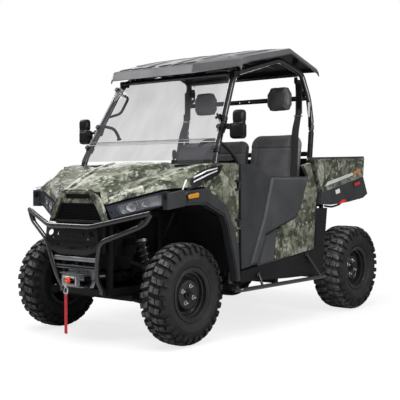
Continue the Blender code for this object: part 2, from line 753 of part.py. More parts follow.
def exhaust():
    """Silencer across the tail, under the bed."""
    y, z = REAR_AXLE_Y - 0.13, 0.60
    can = rod("can", (-0.17, y, z), (0.17, y, z), 0.068, 20)
    route = [(0.0, y, z - 0.02), (0.0, y + 0.10, z - 0.03), (-0.10, y + 0.29, z - 0.04)]
    pipe = tube("pipe", route, 0.019, 0.04)
    bar = box("bar", (-RAIL_X - 0.012, y - 0.015, z - 0.01), (RAIL_X + 0.012, y + 0.015, z + 0.01))
    hangers = [side_box("hanger", (RAIL_X - 0.012, y - 0.014, z - 0.009),
                        (RAIL_X + 0.012, y + 0.014, REAR_BEAM_LOW - FIT), s) for s in (1, -1)]
    return done(fuse("exhaust", [can, pipe, bar] + hangers), "steel")


# Nose and bumper

def front_bumper():
    """Two bent tubes, their cross bars and the plate behind them."""
    top = tube("top", [(-0.545, -1.185, 0.812), (-0.19, -1.325, 0.726), (0.19, -1.325, 0.726),
                       (0.545, -1.185, 0.812)], 0.016, 0.04)
    pieces = [top]
    for s in (1, -1):
        loop = [(0.542, -1.183, 0.806), (0.505, -1.192, 0.742), (0.238, -1.298, 0.632),
                (0.200, -1.285, 0.500), (0.178, -1.265, 0.400), (0.178, FRAME_FRONT - 0.018, 0.325)]
        pieces.append(tube("loop", [flip(p, s) for p in loop], 0.016, 0.035))
    pieces.append(box("bar_high", (-0.215, -1.288, 0.508), (0.215, -1.268, 0.534)))
    pieces.append(box("bar_low", (-0.205, -1.282, 0.458), (0.205, -1.262, 0.482)))
    panel = plate("panel", [(-0.235, 0.635), (0.235, 0.635), (0.215, 0.724), (-0.215, 0.724)],
                  -1.315, -1.303, "Y")
    pieces.append(panel)
    pieces.append(box("foot", (-0.205, FRAME_FRONT - 0.022, 0.300), (0.205, FRAME_FRONT - FIT, 0.336)))
    return done(fuse("front_bumper", pieces), "black_paint")


def winch():
    """Drum, motor and gear housing on its plate, with the fairlead in front."""
    drum = rod("drum", (-0.10, -1.225, 0.398), (0.10, -1.225, 0.398), 0.026, 16)
    ends = [side_box("end", (0.06, -1.262, 0.355), (0.118, -1.203, 0.440), s) for s in (1, -1)]
    seat = box("seat", (-0.118, -1.262, 0.3365), (0.118, -1.203, 0.360))
    face = FRONT_END + 0.041
    bracket = box("bracket", (-0.10, face + 0.005, 0.430), (0.10, -1.215, 0.437))
    fairlead = box("fairlead", (-0.085, face, 0.350), (0.085, face + 0.010, 0.436))
    rollers = [box("roller", (-0.06, face - 0.014, z), (0.06, face + 0.005, z + 0.014))
               for z in (0.362, 0.404)]
    shelf = box("shelf", (-0.095, face + 0.003, 0.352), (0.095, -1.255, 0.358))
    return done(fuse("winch", [seat, drum, bracket, fairlead, shelf] + ends + rollers), "steel")


def winch_hook():
    """Hook below the fairlead, with its round rubber stop."""
    rear = FRONT_END + 0.027 - PIN_FIT
    middle = FRONT_END + 0.0065
    stop = rod("stop", (0, rear, 0.390), (0, FRONT_END + 0.007, 0.390), 0.021, 16)
    shank = box("shank", (-0.009, FRONT_END, 0.352), (0.009, FRONT_END + 0.013, 0.392))
    loop = [(0.0, 0.356), (0.018, 0.345), (0.014, HOOK_LOW + 0.006), (0.0, HOOK_LOW),
            (-0.014, HOOK_LOW + 0.006), (-0.016, 0.335)]
    eye = tube("eye", [(x, middle, z) for x, z in loop], 0.0055, 0.008)
    return done(fuse("winch_hook", [stop, shank, eye]), "steel")


def winch_strap():
    """Pull strap hanging from the hook."""
    middle = FRONT_END + 0.0065
    low = (-STRAP_W / 2, middle - STRAP_T / 2, STRAP_LOW)
    return done(box("winch_strap", low, (STRAP_W / 2, middle + STRAP_T / 2, HOOK_LOW - 0.0047)), "red_web")


def nose():
    """Painted surround of the grille, open at the bottom, with the air slot."""
    outline = [(-0.262, 0.745), (-0.200, 0.885), (-0.150, 0.928), (0.150, 0.928), (0.200, 0.885),
               (0.262, 0.745), (0.230, 0.745), (0.152, NOSE_OPEN_TOP), (-0.152, NOSE_OPEN_TOP),
               (-0.230, 0.745)]
    body = plate("nose", outline, -1.262, -1.240, "Y")
    slot = box("slot", (-0.108, -1.28, 0.892), (0.108, -1.22, 0.916))
    return done(cut(body, [slot]), "camo")


def grille():
    """Dark grille plate and the cowl behind it."""
    top = NOSE_OPEN_TOP - FIT
    outline = [(-0.2274, 0.740), (0.2274, 0.740), (0.1504, top), (-0.1504, top)]
    face = plate("face", outline, -1.252, -1.236, "Y")
    shape = [(-0.20, 0.56), (0.20, 0.56), (0.20, 0.77), (0.145, 0.862), (-0.145, 0.862), (-0.20, 0.77)]
    cowl = plate("cowl", shape, -1.2395 + FIT, -1.215, "Y")
    foot = box("foot", (-0.19, -1.22, 0.775), (0.19, FRAME_FRONT + 0.001 - FIT, 0.795))
    return done(fuse("grille", [face, cowl, foot]), "black_plastic")


def headlights():
    """Wrap-round lamp: housing and lens as one wedge."""
    front = [(0.266, -1.232, 0.775), (0.560, -1.090, 0.855), (0.560, -1.090, 0.940), (0.218, -1.234, 0.848)]
    depth = Vector((-0.020, 0.055, 0.0))
    low = [front[0], front[1], tuple(Vector(front[1]) + depth), tuple(Vector(front[0]) + depth)]
    high = [front[3], front[2], tuple(Vector(front[2]) + depth), tuple(Vector(front[3]) + depth)]
    foot = box("foot", (RAIL_X + 0.015 + FIT, -1.205, 0.778), (0.275, -1.172, 0.798))
    both("headlight", fuse("headlight", [wedge("lamp", low + high), foot]), "lamp")


def hood_half(y):
    """Half width and heights of the hood at a station: (half, middle, edge)."""
    stations = [(-1.250, 0.150, 0.943, 0.936), (-1.200, 0.170, 0.968, 0.950), (-1.100, 0.200, 1.018, 0.992),
                (-0.950, 0.250, 1.070, 1.045), (-0.800, 0.300, 1.106, 1.088), (-0.720, 0.326, 1.120, 1.104)]
    for a, b in zip(stations, stations[1:]):
        if y <= b[0]:
            t = max(0.0, (y - a[0]) / (b[0] - a[0]))
            return [p + (q - p) * t for p, q in zip(a[1:], b[1:])]
    return list(stations[-1][1:])


def hood_skirt(y):
    """Height of the hood's side skirt, which runs out at the front."""
    return 0.003 + (HOOD_SKIRT - 0.003) * min(1.0, (y - HOOD_FRONT) / 0.10)


def hood():
    """Raised centre panel with side skirts, hinged at its rear edge."""
    rows = []
    for y in (HOOD_FRONT, -1.200, -1.100, -0.950, -0.800, HOOD_REAR):
        half, middle, edge = hood_half(y)
        right = [(half * 0.42, middle), (half * 0.60, middle - 0.006), (half * 0.66, middle + 0.004),
                 (half, edge), (half + 0.002, edge - hood_skirt(y))]
        line = [(-x, z) for x, z in reversed(right)] + [(0.0, middle + 0.004)] + right
        rows.append([(x, y, z) for x, z in line])
    pieces = [sheet("skin", rows, 0.005, -1.0)]
    for s in (1, -1):
        low = (0.17, HOOD_AXIS[0] - 0.008, HOOD_AXIS[1] - 0.004)
        high = (0.21, HOOD_AXIS[0], hood_half(HOOD_REAR)[1] - 0.004)
        pieces.append(side_box("lug", low, high, s))
        pieces.append(rod("barrel", flip((0.17, *HOOD_AXIS), s), flip((0.21, *HOOD_AXIS), s), 0.007, 12))
    body = done(fuse("hood", pieces), "camo")
    hinge_point("hood_axis", (0, *HOOD_AXIS), [body])


def fender():
    """Painted fender: top sheet from the hood to the crest, and the side panel to the door."""
    gap = SWING
    rows = []
    edge_rows = [
        (-1.225, (0.178, -1.228, 0.888), (0.186, -1.232, 0.874), (0.194, -1.236, 0.862),
         (0.202, -1.237, 0.853)),
        (-1.12, (0.26, -1.14, 0.95), (0.33, -1.15, 0.942), (0.345, -1.165, 0.915), (0.352, -1.172, 0.896)),
        (-1.01, (0.33, -1.03, 1.0), (0.47, -1.06, 1.0), (0.52, -1.08, 0.972), (0.545, -1.088, 0.95)),
        (-0.90, (0.40, -0.90, 1.045), (0.565, -0.91, 1.062), (0.625, -0.93, 1.02), (0.645, -0.95, 0.963)),
        (-0.79, (0.45, -0.78, 1.08), (0.605, -0.77, 1.105), (0.648, -0.77, 1.06), (0.656, -0.78, 0.966)),
        (HOOD_REAR, (0.47, -0.7, 1.095), (0.61, -0.69, 1.113), (0.652, -0.69, 1.075), (0.656, -0.69, 0.966)),
    ]
    for y, *points in edge_rows:
        half, _, edge = hood_half(y)
        rows.append([(half + gap, y, edge - hood_skirt(y) - gap)] + points)
    top = sheet("top", rows, 0.006, 0.0)
    outline = [(-0.780, 1.100), (-0.700, 1.114), (-0.506, 1.116)] + FENDER_EDGE[::-1]
    side = plate("side", outline, BODY_X - PANEL_T, BODY_X, "X")
    ears = [box("ear", (BODY_X - 0.012, -0.515, z), (BODY_X + 0.013, HINGE_Y + 0.009, z + 0.014))
            for z in (0.995 + PIN_FIT, 0.941 - PIN_FIT, 0.745 + PIN_FIT, 0.691 - PIN_FIT)]
    both("fender", fuse("fender", [side, top] + ears), "camo")


def front_arch():
    """Black flare round the front wheel opening, down to the sill."""
    seam = [(y - 2 * FIT, z - 2 * FIT) for y, z in FENDER_EDGE]
    outline = [(-1.085, 0.848), (-1.078, 0.900), (-0.964, 0.944)] + seam
    outline += [(-0.466, 0.357), (-0.506, 0.357), (-0.5165, 0.433), (-0.6045, 0.715), (-0.6435, 0.784),
                (-0.8255, 0.860), (-1.0555, 0.852)]
    flare = plate("flare", outline, 0.616, 0.672, "X")
    both("front_arch", flare, "dark_plastic")


def door():
    """Whole door: flat front part and raised rear part, hinged at its front edge."""
    outline = [(-0.452, 1.112), (-0.3125, 1.110), (-0.200, 1.068), (-0.135, 1.032), (0.360, 1.032),
               (0.334, 0.977), (0.266, 0.828), (0.196, 0.746), (-0.184, 0.640), (-0.276, 0.452),
               (-0.444, 0.432)]
    slab = plate("slab", outline, BODY_X - DOOR_T, BODY_X, "X")
    raised = [(-0.112, 1.024), (0.348, 1.024), (0.322, 0.972), (0.256, 0.833), (0.188, 0.754),
              (-0.180, 0.652), (-0.272, 0.462), (-0.352, 0.452), (-0.200, 0.760)]
    boss = plate("boss", raised, BODY_X - 0.01, BODY_X + 0.016, "X")
    pieces = [slab, boss]
    for z in (0.955, 0.705):
        pieces.append(rod("barrel", (HINGE_X, HINGE_Y, z), (HINGE_X, HINGE_Y, z + 0.040), 0.008, 12))
        pieces.append(box("strap", (BODY_X - 0.006, HINGE_Y, z + 0.002),
                          (BODY_X + 0.006, -0.440, z + 0.038)))
    left, right = both("door", fuse("door", pieces), "dark_plastic")
    hinge_point("door_axis_left", (HINGE_X, HINGE_Y, 0.85), [left])
    hinge_point("door_axis_right", (-HINGE_X, HINGE_Y, 0.85), [right])


def quarter():
    """Painted panel between the door and the bed, down to the sill."""
    outline = [(0.300, 1.110), (0.398, 1.134), (0.494, 0.917), (0.4685, 0.810), (0.4425, 0.5073),
               (-0.240, 0.4373), (-0.262, 0.440), (-0.175, 0.632), (0.203, 0.739), (0.274, 0.823),
               (0.342, 0.974), (0.370, 1.037)]
    both("quarter", plate("quarter", outline, BODY_X - 0.030, BODY_X, "X"), "camo")


# Cab

def dashboard():
    """Cowl and dash moulding with the instrument pod and the shift lever."""
    line = [(-0.680, 1.104), (-0.600, 1.112), (-0.500, 1.100), (-0.455, 1.050), (-0.462, 0.920),
            (-0.4785, 0.8008)]
    rows = [[(x, y, z) for x in (-0.565, 0.565)] for y, z in line]
    pieces = [sheet("moulding", rows, 0.007, 0.0)]
    pod = [(-0.60, 1.10), (-0.56, 1.185), (-0.50, 1.228), (-0.46, 1.222), (-0.452, 1.06), (-0.50, 1.09)]
    pieces.append(plate("pod", pod, 0.16, 0.46, "X"))
    pieces.append(rod("lever", (0.125, -0.52, 1.09), (0.125, -0.487, 1.165), 0.007, 8))
    pieces.append(rounded_box("knob", (0.110, -0.503, 1.150), (0.140, -0.473, 1.212), 0.010, 1))
    for s in (1, -1):
        for x in (0.17 - PIN_FIT - 0.014, 0.21 + PIN_FIT):
            pieces.append(side_box("ear", (x, HOOD_AXIS[0] - 0.006, HOOD_AXIS[1] - 0.012),
                                   (x + 0.014, -0.670, HOOD_AXIS[1] + 0.006), s))
    body = fuse("dashboard", pieces)
    hole = rod("column_hole", column_end(0.15), column_end(0.27), 0.024 + FIT, 16)
    return done(cut(body, [hole]), "dark_plastic")


def seat_parts():
    """Plastic seat box, cushions, backs and headrests."""
    base = box("seat_box", (-0.555, 0.07, FLOOR_Z + FLOOR_T / 2 + FIT), (0.555, 0.44, 0.775))
    core = box("seat_core", (-0.543, 0.082, 0.30), (0.543, 0.50, 0.763))
    done(cut(base, [core]), "black_plastic").name = "seat_base"
    for name, x0, x1 in (("seat_cushion_left", 0.165, 0.572), ("seat_cushion_right", -0.572, 0.115)):
        low, high = (x0, 0.015, 0.775 + FIT), (x1, 0.372, 0.885)
        done(rounded_box(name, low, high, 0.03, 2), "vinyl")
    for name, x0, x1, top in (("seat_back_left", 0.172, 0.556, SEAT_BACK_TOP),
                              ("seat_back_right", -0.556, 0.115, SEAT_BACK_TOP - 0.045)):
        back = rounded_box(name, (x0, 0.312, 0.885 - 0.0020), (x1, 0.412, top), 0.035, 2)
        lean = Matrix.Translation((0, 0.362, 0.885)) @ Matrix.Rotation(math.radians(-2.0), 4, "X")
        back.data.transform(lean @ Matrix.Translation((0, -0.362, -0.885)))
        done(back, "vinyl")
    rest = rounded_box("headrest", (0.262, REST_BAR_Y - 0.075, 1.525),
                       (0.438, REST_BAR_Y - FIT, 1.700), 0.025, 2)
    both("headrest", rest, "vinyl")


def roll_cage():
    """Side hoops, roof cross tubes and the flat bar that carries the headrests."""
    pieces = []
    for s in (1, -1):
        path = A_PILLAR + [(0.515, 0.20, 1.862)] + B_PILLAR
        pieces.append(tube("hoop", [flip(p, s) for p in path], CAGE_R, 0.05))
    pieces.append(rod("front_tube", (-0.507, -0.300, 1.722), (0.507, -0.300, 1.722), 0.017, 10))
    pieces.append(rod("rear_tube", (-0.535, 0.462, 1.786), (0.535, 0.462, 1.786), 0.019, 10))
    pieces.append(box("rest_bar", (-0.572, REST_BAR_Y, 1.590), (0.572, REST_BAR_Y + 0.008, 1.628)))
    pieces.append(rod("shoulder_tube", (-0.590, 0.502, 1.20), (0.590, 0.502, 1.20), 0.018, 10))
    handle = []
    for z, inward, back in ((1.600, 0.0, 0.0), (1.575, 0.075, 0.050), (1.460, 0.075, 0.050), (1.435, 0.0, 0.0)):
        at = pillar_at(z)
        handle.append((inward - at.x, at.y + back, z))
    pieces.append(tube("grab_handle", handle, 0.0095, 0.03, 1))
    return done(fuse("roll_cage", pieces), "black_paint")


def pillar_at(z):
    """Centre of the left A pillar at a height, for the pieces clamped to it."""
    low, high = Vector(A_PILLAR[4]), Vector(A_PILLAR[5])
    return low + (high - low) * ((z - low.z) / (high.z - low.z))


def windshield():
    """Clear two-part screen in front of the A pillars."""
    low, high = pillar_at(1.125), pillar_at(1.69)
    along = (high - low).normalized()
    out = Vector((0, -along.z, along.y)).normalized() * (CAGE_R + WIND_T / 2 + FIT)
    rows = []
    for point in (low, high):
        p = point + out
        rows.append([(-p.x, p.y, p.z), (p.x, p.y, p.z)])
    return done(sheet("windshield", rows, WIND_T, 0.0), "clear")


def mirrors():
    """Mirror head on its arm, clamped beside the A pillar."""
    at = pillar_at(1.36)
    head = rounded_box("head", (0.640, -0.562, 1.270), (0.752, -0.515, 1.452), 0.018, 2)
    arm = rod("arm", (at.x + CAGE_R + 0.01, at.y, 1.36), (0.66, -0.545, 1.36), 0.010, 10)
    clamp = box("clamp", (at.x + CAGE_R + 0.0022, at.y - 0.010, 1.350),
                (at.x + CAGE_R + 0.030, at.y + 0.010, 1.376))
    both("mirror", fuse("mirror", [head, arm, clamp]), "black_plastic")


def roof():
    """Moulded roof: slopes up to a cross ridge, then down to the rear."""
    def row(y_mid, z_mid, y_side, z_side):
        edge = [(0.583, y_side, z_side), (0.600, y_side + 0.004, z_side - 0.034)]
        inner = [(0.36, y_mid, z_mid)]
        half = inner + edge
        return [(-x, y, z) for x, y, z in reversed(half)] + [(0.0, y_mid, z_mid)] + half
    rows = [row(-0.588, 1.702, -0.368, 1.752), row(-0.572, 1.762, -0.356, 1.800),
            row(-0.250, 1.852, -0.250, 1.832), row(0.235, 1.952, 0.235, 1.936),
            row(0.595, 1.838, 0.595, 1.830), row(0.602, 1.812, 0.602, 1.806)]
    shell = sheet("shell", rows, 0.010, 0.0)
    feet = []
    for s in (1, -1):
        feet.append(side_box("rear_foot", (0.46, 0.445, 1.786 + 0.019 + FIT), (0.50, 0.475, 1.876), s))
        feet.append(side_box("front_foot", (0.43, -0.315, 1.722 + 0.017 + FIT), (0.47, -0.285, 1.836), s))
    return done(fuse("roof", [shell] + feet), "black_plastic")


def belts():
    """Seat belt: sleeve from the pillar's top and the webbing down to the seat."""
    rows = [[(0.478, 0.440, 1.715), (0.526, 0.440, 1.715)], [(0.474, 0.436, 1.560), (0.522, 0.436, 1.560)],
            [(0.520, 0.432, 1.370), (0.565, 0.432, 1.370)], [(0.562, 0.425, 1.100), (0.602, 0.425, 1.100)]]
    belt = sheet("belt", rows, 0.003, 0.0)
    anchor = box("anchor", (0.486, 0.428, 1.690), (0.520, 0.4425, 1.766))
    clip = box("clip", (0.484, 0.435, 1.598), (0.512, REST_BAR_Y - FIT, 1.620))
    both("belt", fuse("belt", [belt, anchor, clip]), "vinyl")


# Rear body

def cargo_bed():
    """Bed floor, walls and painted side panels, tipping about its rear edge."""
    side_line = [(0.5055, 0.829), (0.5235, 0.915), (0.408, 1.150), (0.412, 1.172), (1.150, 1.194),
                 (1.166, 1.172), (1.150, 1.035), (1.2225, 0.898), (1.150, 0.866), (0.914, 0.838),
                 (0.6645, 0.822)]
    pieces = [box("floor", (-0.650, 0.545, 0.856), (0.650, GATE_AXIS[0] - 0.012, 0.872)),
              box("head", (-0.650, 0.545, 0.857), (0.650, 0.567, 1.174))]
    for s in (1, -1):
        wall = plate("side", side_line, 0.640, 0.640 + BED_WALL + 0.020, "X")
        if s < 0:
            other = mirrored("side_r", wall)
            bpy.data.objects.remove(wall, do_unlink=True)
            wall = other
        pieces.append(wall)
        pieces.append(side_box("lug", (0.24, 1.145, 0.790), (0.275, 1.178, 0.860), s))
        pieces.append(rod("barrel", flip((0.24, *BED_AXIS), s), flip((0.275, *BED_AXIS), s), 0.011, 12))
        pieces.append(side_box("tab", (0.40, 1.150, GATE_AXIS[1] - 0.008),
                               (0.44, GATE_AXIS[0], GATE_AXIS[1] - 0.001), s))
        pieces.append(rod("gate_barrel", flip((0.40, *GATE_AXIS), s),
                          flip((0.44, *GATE_AXIS), s), 0.007, 12))
    body = done(fuse("cargo_bed", pieces), "camo")
    hinge = hinge_point("bed_axis", (0, *BED_AXIS), [body])
    gate = tailgate()
    gate_axis = hinge_point("tailgate_axis", (0, *GATE_AXIS), [gate])
    gate_axis.parent = hinge
    gate_axis.matrix_parent_inverse = hinge.matrix_world.inverted()


def tailgate():
    """Drop-down rear wall of the bed."""
    y = GATE_AXIS[0]
    slab = box("slab", (-0.630, y - 0.004, GATE_AXIS[1] + 0.012), (0.630, y + 0.020, 1.170))
    pieces = [slab]
    for s in (1, -1):
        for x in (0.375, 0.440 + PIN_FIT):
            pieces.append(side_box("ear", (x, y - 0.006, GATE_AXIS[1] - 0.006),
                                   (x + 0.025 - PIN_FIT, y + 0.010, GATE_AXIS[1] + 0.03), s))
    return done(fuse("tailgate", pieces), "dark_plastic")


def side_steps():
    """Side step tubes with struts to the sill."""
    main = [(0.640, -0.465, 0.312), (0.652, -0.525, 0.302), (0.700, -0.490, 0.305), (0.700, 0.530, 0.303)]
    pieces = [tube("main", main, 0.014, 0.03)]
    pieces.append(box("foot", (OUTRIGGER_X + FIT, -0.486, 0.300), (0.648, -0.455, 0.328)))
    pieces.append(rod("strut_mid", (SILL_X + 0.012, -0.2595, 0.380), (0.700, -0.2595, 0.310), 0.009, 10))
    pieces.append(rod("strut_rear", (SILL_X + 0.012, 0.3325, 0.480), (0.700, 0.470, 0.310), 0.010, 10))
    for y, z in ((-0.2595, 0.380), (0.3325, 0.475)):
        pieces.append(box("pad", (SILL_X + FIT, y - 0.015, z - 0.012),
                          (SILL_X + 0.018, y + 0.015, z + 0.012)))
    both("side_step", fuse("side_step", pieces), "black_paint")


def build():
    front_wheels()
    rear_wheels()
    steering_rack()
    steering_wheel()
    steering_column()
    frame()
    floor_tub()
    engine()
    front_suspension()
    rear_suspension()
    front_drive()
    rear_drive()
    exhaust()
    front_bumper()
    winch()
    winch_hook()
    winch_strap()
    nose()
    grille()
    headlights()
    hood()
    fender()
    front_arch()
    door()
    quarter()
    dashboard()
    seat_parts()
    roll_cage()
    windshield()
    mirrors()
    roof()
    belts()
    cargo_bed()
    side_steps()


build()
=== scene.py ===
import json
import math

import bmesh
import bpy
from mathutils import Matrix, Vector


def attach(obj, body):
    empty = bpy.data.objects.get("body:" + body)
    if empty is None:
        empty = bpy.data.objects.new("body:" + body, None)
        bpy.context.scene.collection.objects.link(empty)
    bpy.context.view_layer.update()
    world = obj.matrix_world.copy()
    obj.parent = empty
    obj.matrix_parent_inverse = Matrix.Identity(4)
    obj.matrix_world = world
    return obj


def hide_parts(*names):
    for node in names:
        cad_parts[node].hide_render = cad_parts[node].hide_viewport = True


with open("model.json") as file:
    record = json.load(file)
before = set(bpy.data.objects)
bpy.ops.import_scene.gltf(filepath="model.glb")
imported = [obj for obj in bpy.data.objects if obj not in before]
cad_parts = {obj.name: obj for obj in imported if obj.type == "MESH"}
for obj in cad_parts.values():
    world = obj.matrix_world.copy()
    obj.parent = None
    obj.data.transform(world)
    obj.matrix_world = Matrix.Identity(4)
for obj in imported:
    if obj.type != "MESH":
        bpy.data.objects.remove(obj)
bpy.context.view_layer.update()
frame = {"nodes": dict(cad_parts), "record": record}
record = frame["record"]
BODY_OF = {node: body for body, nodes in record["behaviour"]["bodies"].items() for node in nodes}
SLOT_OF = {row["node"]: row["material_slot"] for row in record["subparts"]}

# Sizes taken over from the solids, in metres
FRONT_AXLE_Y = -0.9145
REAR_AXLE_Y = 1.0395
FRONT_END = -1.3635
CAGE_R = 0.021
REST_BAR_Y = 0.4865
DRUM = (-1.2325, 0.398)
SEAT_FOOT = (0.0, 0.316, 0.8835)
A_PILLAR = [(0.59, -0.483, 0.3385), (0.59, -0.483, 0.5), (0.59, -0.52, 0.7), (0.597, -0.652, 1.08),
            (0.593, -0.6355, 1.155), (0.518, -0.3585, 1.657), (0.505, -0.3, 1.722)]
B_PILLAR = [(0.535, 0.462, 1.79), (0.576, 0.5, 1.6), (0.6, 0.502, 1.41), (0.584, 0.502, 1.155),
            (0.575, 0.502, 0.8), (0.56, 0.502, 0.52), (0.56, 0.502, 0.3385)]

# Each axle: its y, half track, tyre radius and width, rim width, and how far out the hub's face is
AXLES = {"front": (FRONT_AXLE_Y, 0.56, 0.314, 0.19, 0.16, 0.042),
         "rear": (REAR_AXLE_Y, 0.585, 0.324, 0.25, 0.205, 0.051)}

# The photograph's camera, fitted with the tyres as scale
CAMERA_AT = (3.8616, -4.809, 1.0115)
CAMERA_TURN = (90.0 - 1.405, 0.0, 39.097)
CAMERA_LENS = 75.57
CAMERA_SENSOR = 36.0

SIDES = (("left", 1), ("right", -1))


# Shader building

class Link:
    """A shader socket that takes part in plain arithmetic."""

    def __init__(self, look, socket):
        self.look = look
        self.socket = socket

    def math(self, operation, *values):
        return self.look.node("ShaderNodeMath", dict(enumerate(values)), operation=operation)

    def __add__(self, other):
        return self.math("ADD", self, other)

    def __sub__(self, other):
        return self.math("SUBTRACT", self, other)

    def __rsub__(self, other):
        return self.math("SUBTRACT", other, self)

    def __mul__(self, other):
        return self.math("MULTIPLY", self, other)

    def __abs__(self):
        return self.math("ABSOLUTE", self)

    def ramp(self, low, high):
        """0 at low, 1 at high, with a straight rise between."""
        return self.look.node("ShaderNodeMapRange", {"Value": self, "From Min": low, "From Max": high})

    __radd__ = __add__
    __rmul__ = __mul__


class Look:
    """One finish: a Principled surface and what varies over it."""

    def __init__(self, name, colour, rough, metal=0.0, **fixed):
        self.material = bpy.data.materials.new(name)
        self.material.use_nodes = True
        self.tree = self.material.node_tree
        self.surface = self.tree.nodes["Principled BSDF"]
        self.set({"Base Color": colour, "Roughness": rough, "Metallic": metal, **fixed})
        self.place = self.node("ShaderNodeTexCoord", out="Object")

    def plug(self, socket, value):
        """Link or set one socket."""
        if isinstance(value, Link):
            self.tree.links.new(value.socket, socket)
        elif socket.type == "RGBA" and len(value) == 3:
            socket.default_value = (*value, 1.0)
        else:
            socket.default_value = value

    def node(self, kind, sockets=None, out=0, **settings):
        """Any node: its settings are set first, then the values or links of its sockets."""
        made = self.tree.nodes.new(kind)
        for key, value in settings.items():
            setattr(made, key, value)
        for key, value in (sockets or {}).items():
            self.plug(made.inputs[key], value)
        return Link(self, made.outputs[out])

    def set(self, sockets):
        for key, value in sockets.items():
            self.plug(self.surface.inputs[key], value)
        return self

    def mix(self, share, first, second):
        return self.node("ShaderNodeMix", {0: share, 6: first, 7: second}, out=2, data_type="RGBA")

    def moved(self, scale=(1, 1, 1), turn=(0, 0, 0), at=None):
        """The place on the piece, stretched and turned."""
        sockets = {"Vector": at or self.place, "Scale": scale, "Rotation": turn}
        return self.node("ShaderNodeMapping", sockets)

    def vector(self, operation, first, second=None, out=0):
        """Vector arithmetic on one or two places."""
        sockets = {0: first} if second is None else {0: first, 1: second}
        return self.node("ShaderNodeVectorMath", sockets, out, operation=operation)

    def noise(self, scale, detail=2.0, at=None, out=0):
        sockets = {"Vector": at or self.place, "Scale": scale, "Detail": detail}
        return self.node("ShaderNodeTexNoise", sockets, out)

    def cells(self, scale, at=None, feature="F1"):
        sockets = {"Vector": at or self.place, "Scale": scale}
        return self.node("ShaderNodeTexVoronoi", sockets, feature=feature)

    def height(self, value, depth):
        """Raise the surface by value times depth, in metres."""
        return self.set({"Normal": self.node("ShaderNodeBump", {"Height": value, "Distance": depth})})


def faded(colour, share, lift=0.0):
    """A colour made paler or darker by a share, plus an even lift."""
    return tuple(min(1.0, c * share + lift) for c in colour)


def moulded(name, colour, rough, shine=0.22):
    """Moulded plastic: fine spark grain, with patches that are duller and a little lighter."""
    look = Look(name, colour, rough, **{"Specular IOR Level": shine})
    patches = look.noise(7.0, 4.0)
    look.set({"Base Color": look.mix(patches.ramp(0.35, 0.75), colour, faded(colour, 1.35, 0.004)),
              "Roughness": patches * 0.16 + (rough - 0.08)})
    return look.height(look.noise(700.0, 1.0), 0.00012)


def coated(name, colour, rough):
    """Powder coat or paint on steel: soft orange peel under a clear gloss."""
    gloss = {"Specular IOR Level": 0.5, "Coat Weight": 1.0, "Coat Roughness": 0.08}
    look = Look(name, colour, rough, **gloss)
    dust = look.noise(9.0, 4.0)
    look.set({"Roughness": dust * 0.14 + (rough - 0.07),
              "Base Color": look.mix(dust.ramp(0.45, 0.85), colour, faded(colour, 1.8, 0.006))})
    return look.height(look.noise(160.0), 0.0001)


def bare_metal(name, colour, rough, streak=(4, 90, 90)):
    """Bare metal with drawn streaks and faint stains."""
    look = Look(name, colour, rough, 1.0)
    lines = look.noise(9.0, 3.0, look.moved(streak))
    stain = look.noise(14.0, 3.0)
    look.set({"Roughness": lines * 0.2 + (rough - 0.1),
              "Base Color": look.mix(stain.ramp(0.3, 0.8), faded(colour, 0.7), colour)})
    return look.height(lines, 0.00004)


def camouflage():
    """Gloss woodland film: blurred olive and grey-green patches, pale leaf marks and dark twigs."""
    gloss = {"Coat Weight": 0.3, "Coat Roughness": 0.25, "Specular IOR Level": 0.25}
    look = Look("camo_gloss", (0.12, 0.13, 0.09), 0.34, **gloss)
    shift = look.vector("MULTIPLY", look.noise(6.0, 3.0, out="Color"), (0.09, 0.09, 0.09))
    bent = look.vector("ADD", look.place, shift)
    tall = look.moved((1.0, 0.7, 1.0), (0.6, 0.3, 0.0), bent)
    patch = look.noise(8.5, 5.0, tall)
    fine = look.noise(24.0, 5.0, bent)
    speck = look.noise(62.0, 4.0, tall)
    leaf = look.cells(34.0, tall, "SMOOTH_F1")
    twig = look.noise(5.5, 4.0, look.moved((1.0, 2.4, 1.0), (0.9, 0.2, 0.0), bent))
    colour = look.mix(fine.ramp(0.38, 0.62), (0.17, 0.176, 0.134), (0.07, 0.08, 0.055))
    pale = look.mix(speck.ramp(0.38, 0.6), (0.34, 0.346, 0.29), (0.18, 0.186, 0.142))
    colour = look.mix(look.noise(8.0, 5.0, bent).ramp(0.5, 0.57), colour, pale)
    shade = look.mix(speck.ramp(0.4, 0.62), (0.02, 0.026, 0.016), (0.062, 0.068, 0.048))
    colour = look.mix(patch.ramp(0.51, 0.57), colour, shade)
    colour = look.mix(look.noise(5.6, 3.0, tall).ramp(0.62, 0.65), colour, (0.062, 0.06, 0.042))
    colour = look.mix(leaf.ramp(0.3, 0.2) * patch.ramp(0.4, 0.58) * 0.8, colour, (0.33, 0.345, 0.265))
    colour = look.mix(abs(twig - 0.5).ramp(0.022, 0.008) * 0.85, colour, (0.014, 0.016, 0.011))
    look.set({"Base Color": colour, "Roughness": fine * 0.12 + 0.3})
    return look.height(look.noise(60.0, 2.0), 0.00015)


def tyre_rubber():
    """Tyre rubber: lug faces a lighter grey than the carcass, partly scuffing and partly a painted highlight
    on the lug tops, with a dull sidewall bloom.
    """
    look = Look("tyre_rubber", (0.022, 0.022, 0.023), 0.78, **{"Specular IOR Level": 0.25})
    reach = look.vector("LENGTH", look.vector("MULTIPLY", look.place, (0, 1, 1)), out="Value")
    # Lug faces a lighter grey: partly scuffing, partly a painted highlight where light falls on the lug tops
    scuff_and_painted_highlight = reach.ramp(0.296, 0.312) * look.noise(38.0, 3.0).ramp(0.25, 0.65)
    bloom = look.noise(11.0, 4.0).ramp(0.35, 0.75)
    colour = look.mix(bloom, (0.013, 0.013, 0.014), (0.028, 0.028, 0.028))
    look.set({"Base Color": look.mix(scuff_and_painted_highlight, colour, (0.13, 0.13, 0.131)), "Roughness": bloom * 0.15 + 0.55})
    return look.height(look.noise(420.0, 2.0), 0.00025)


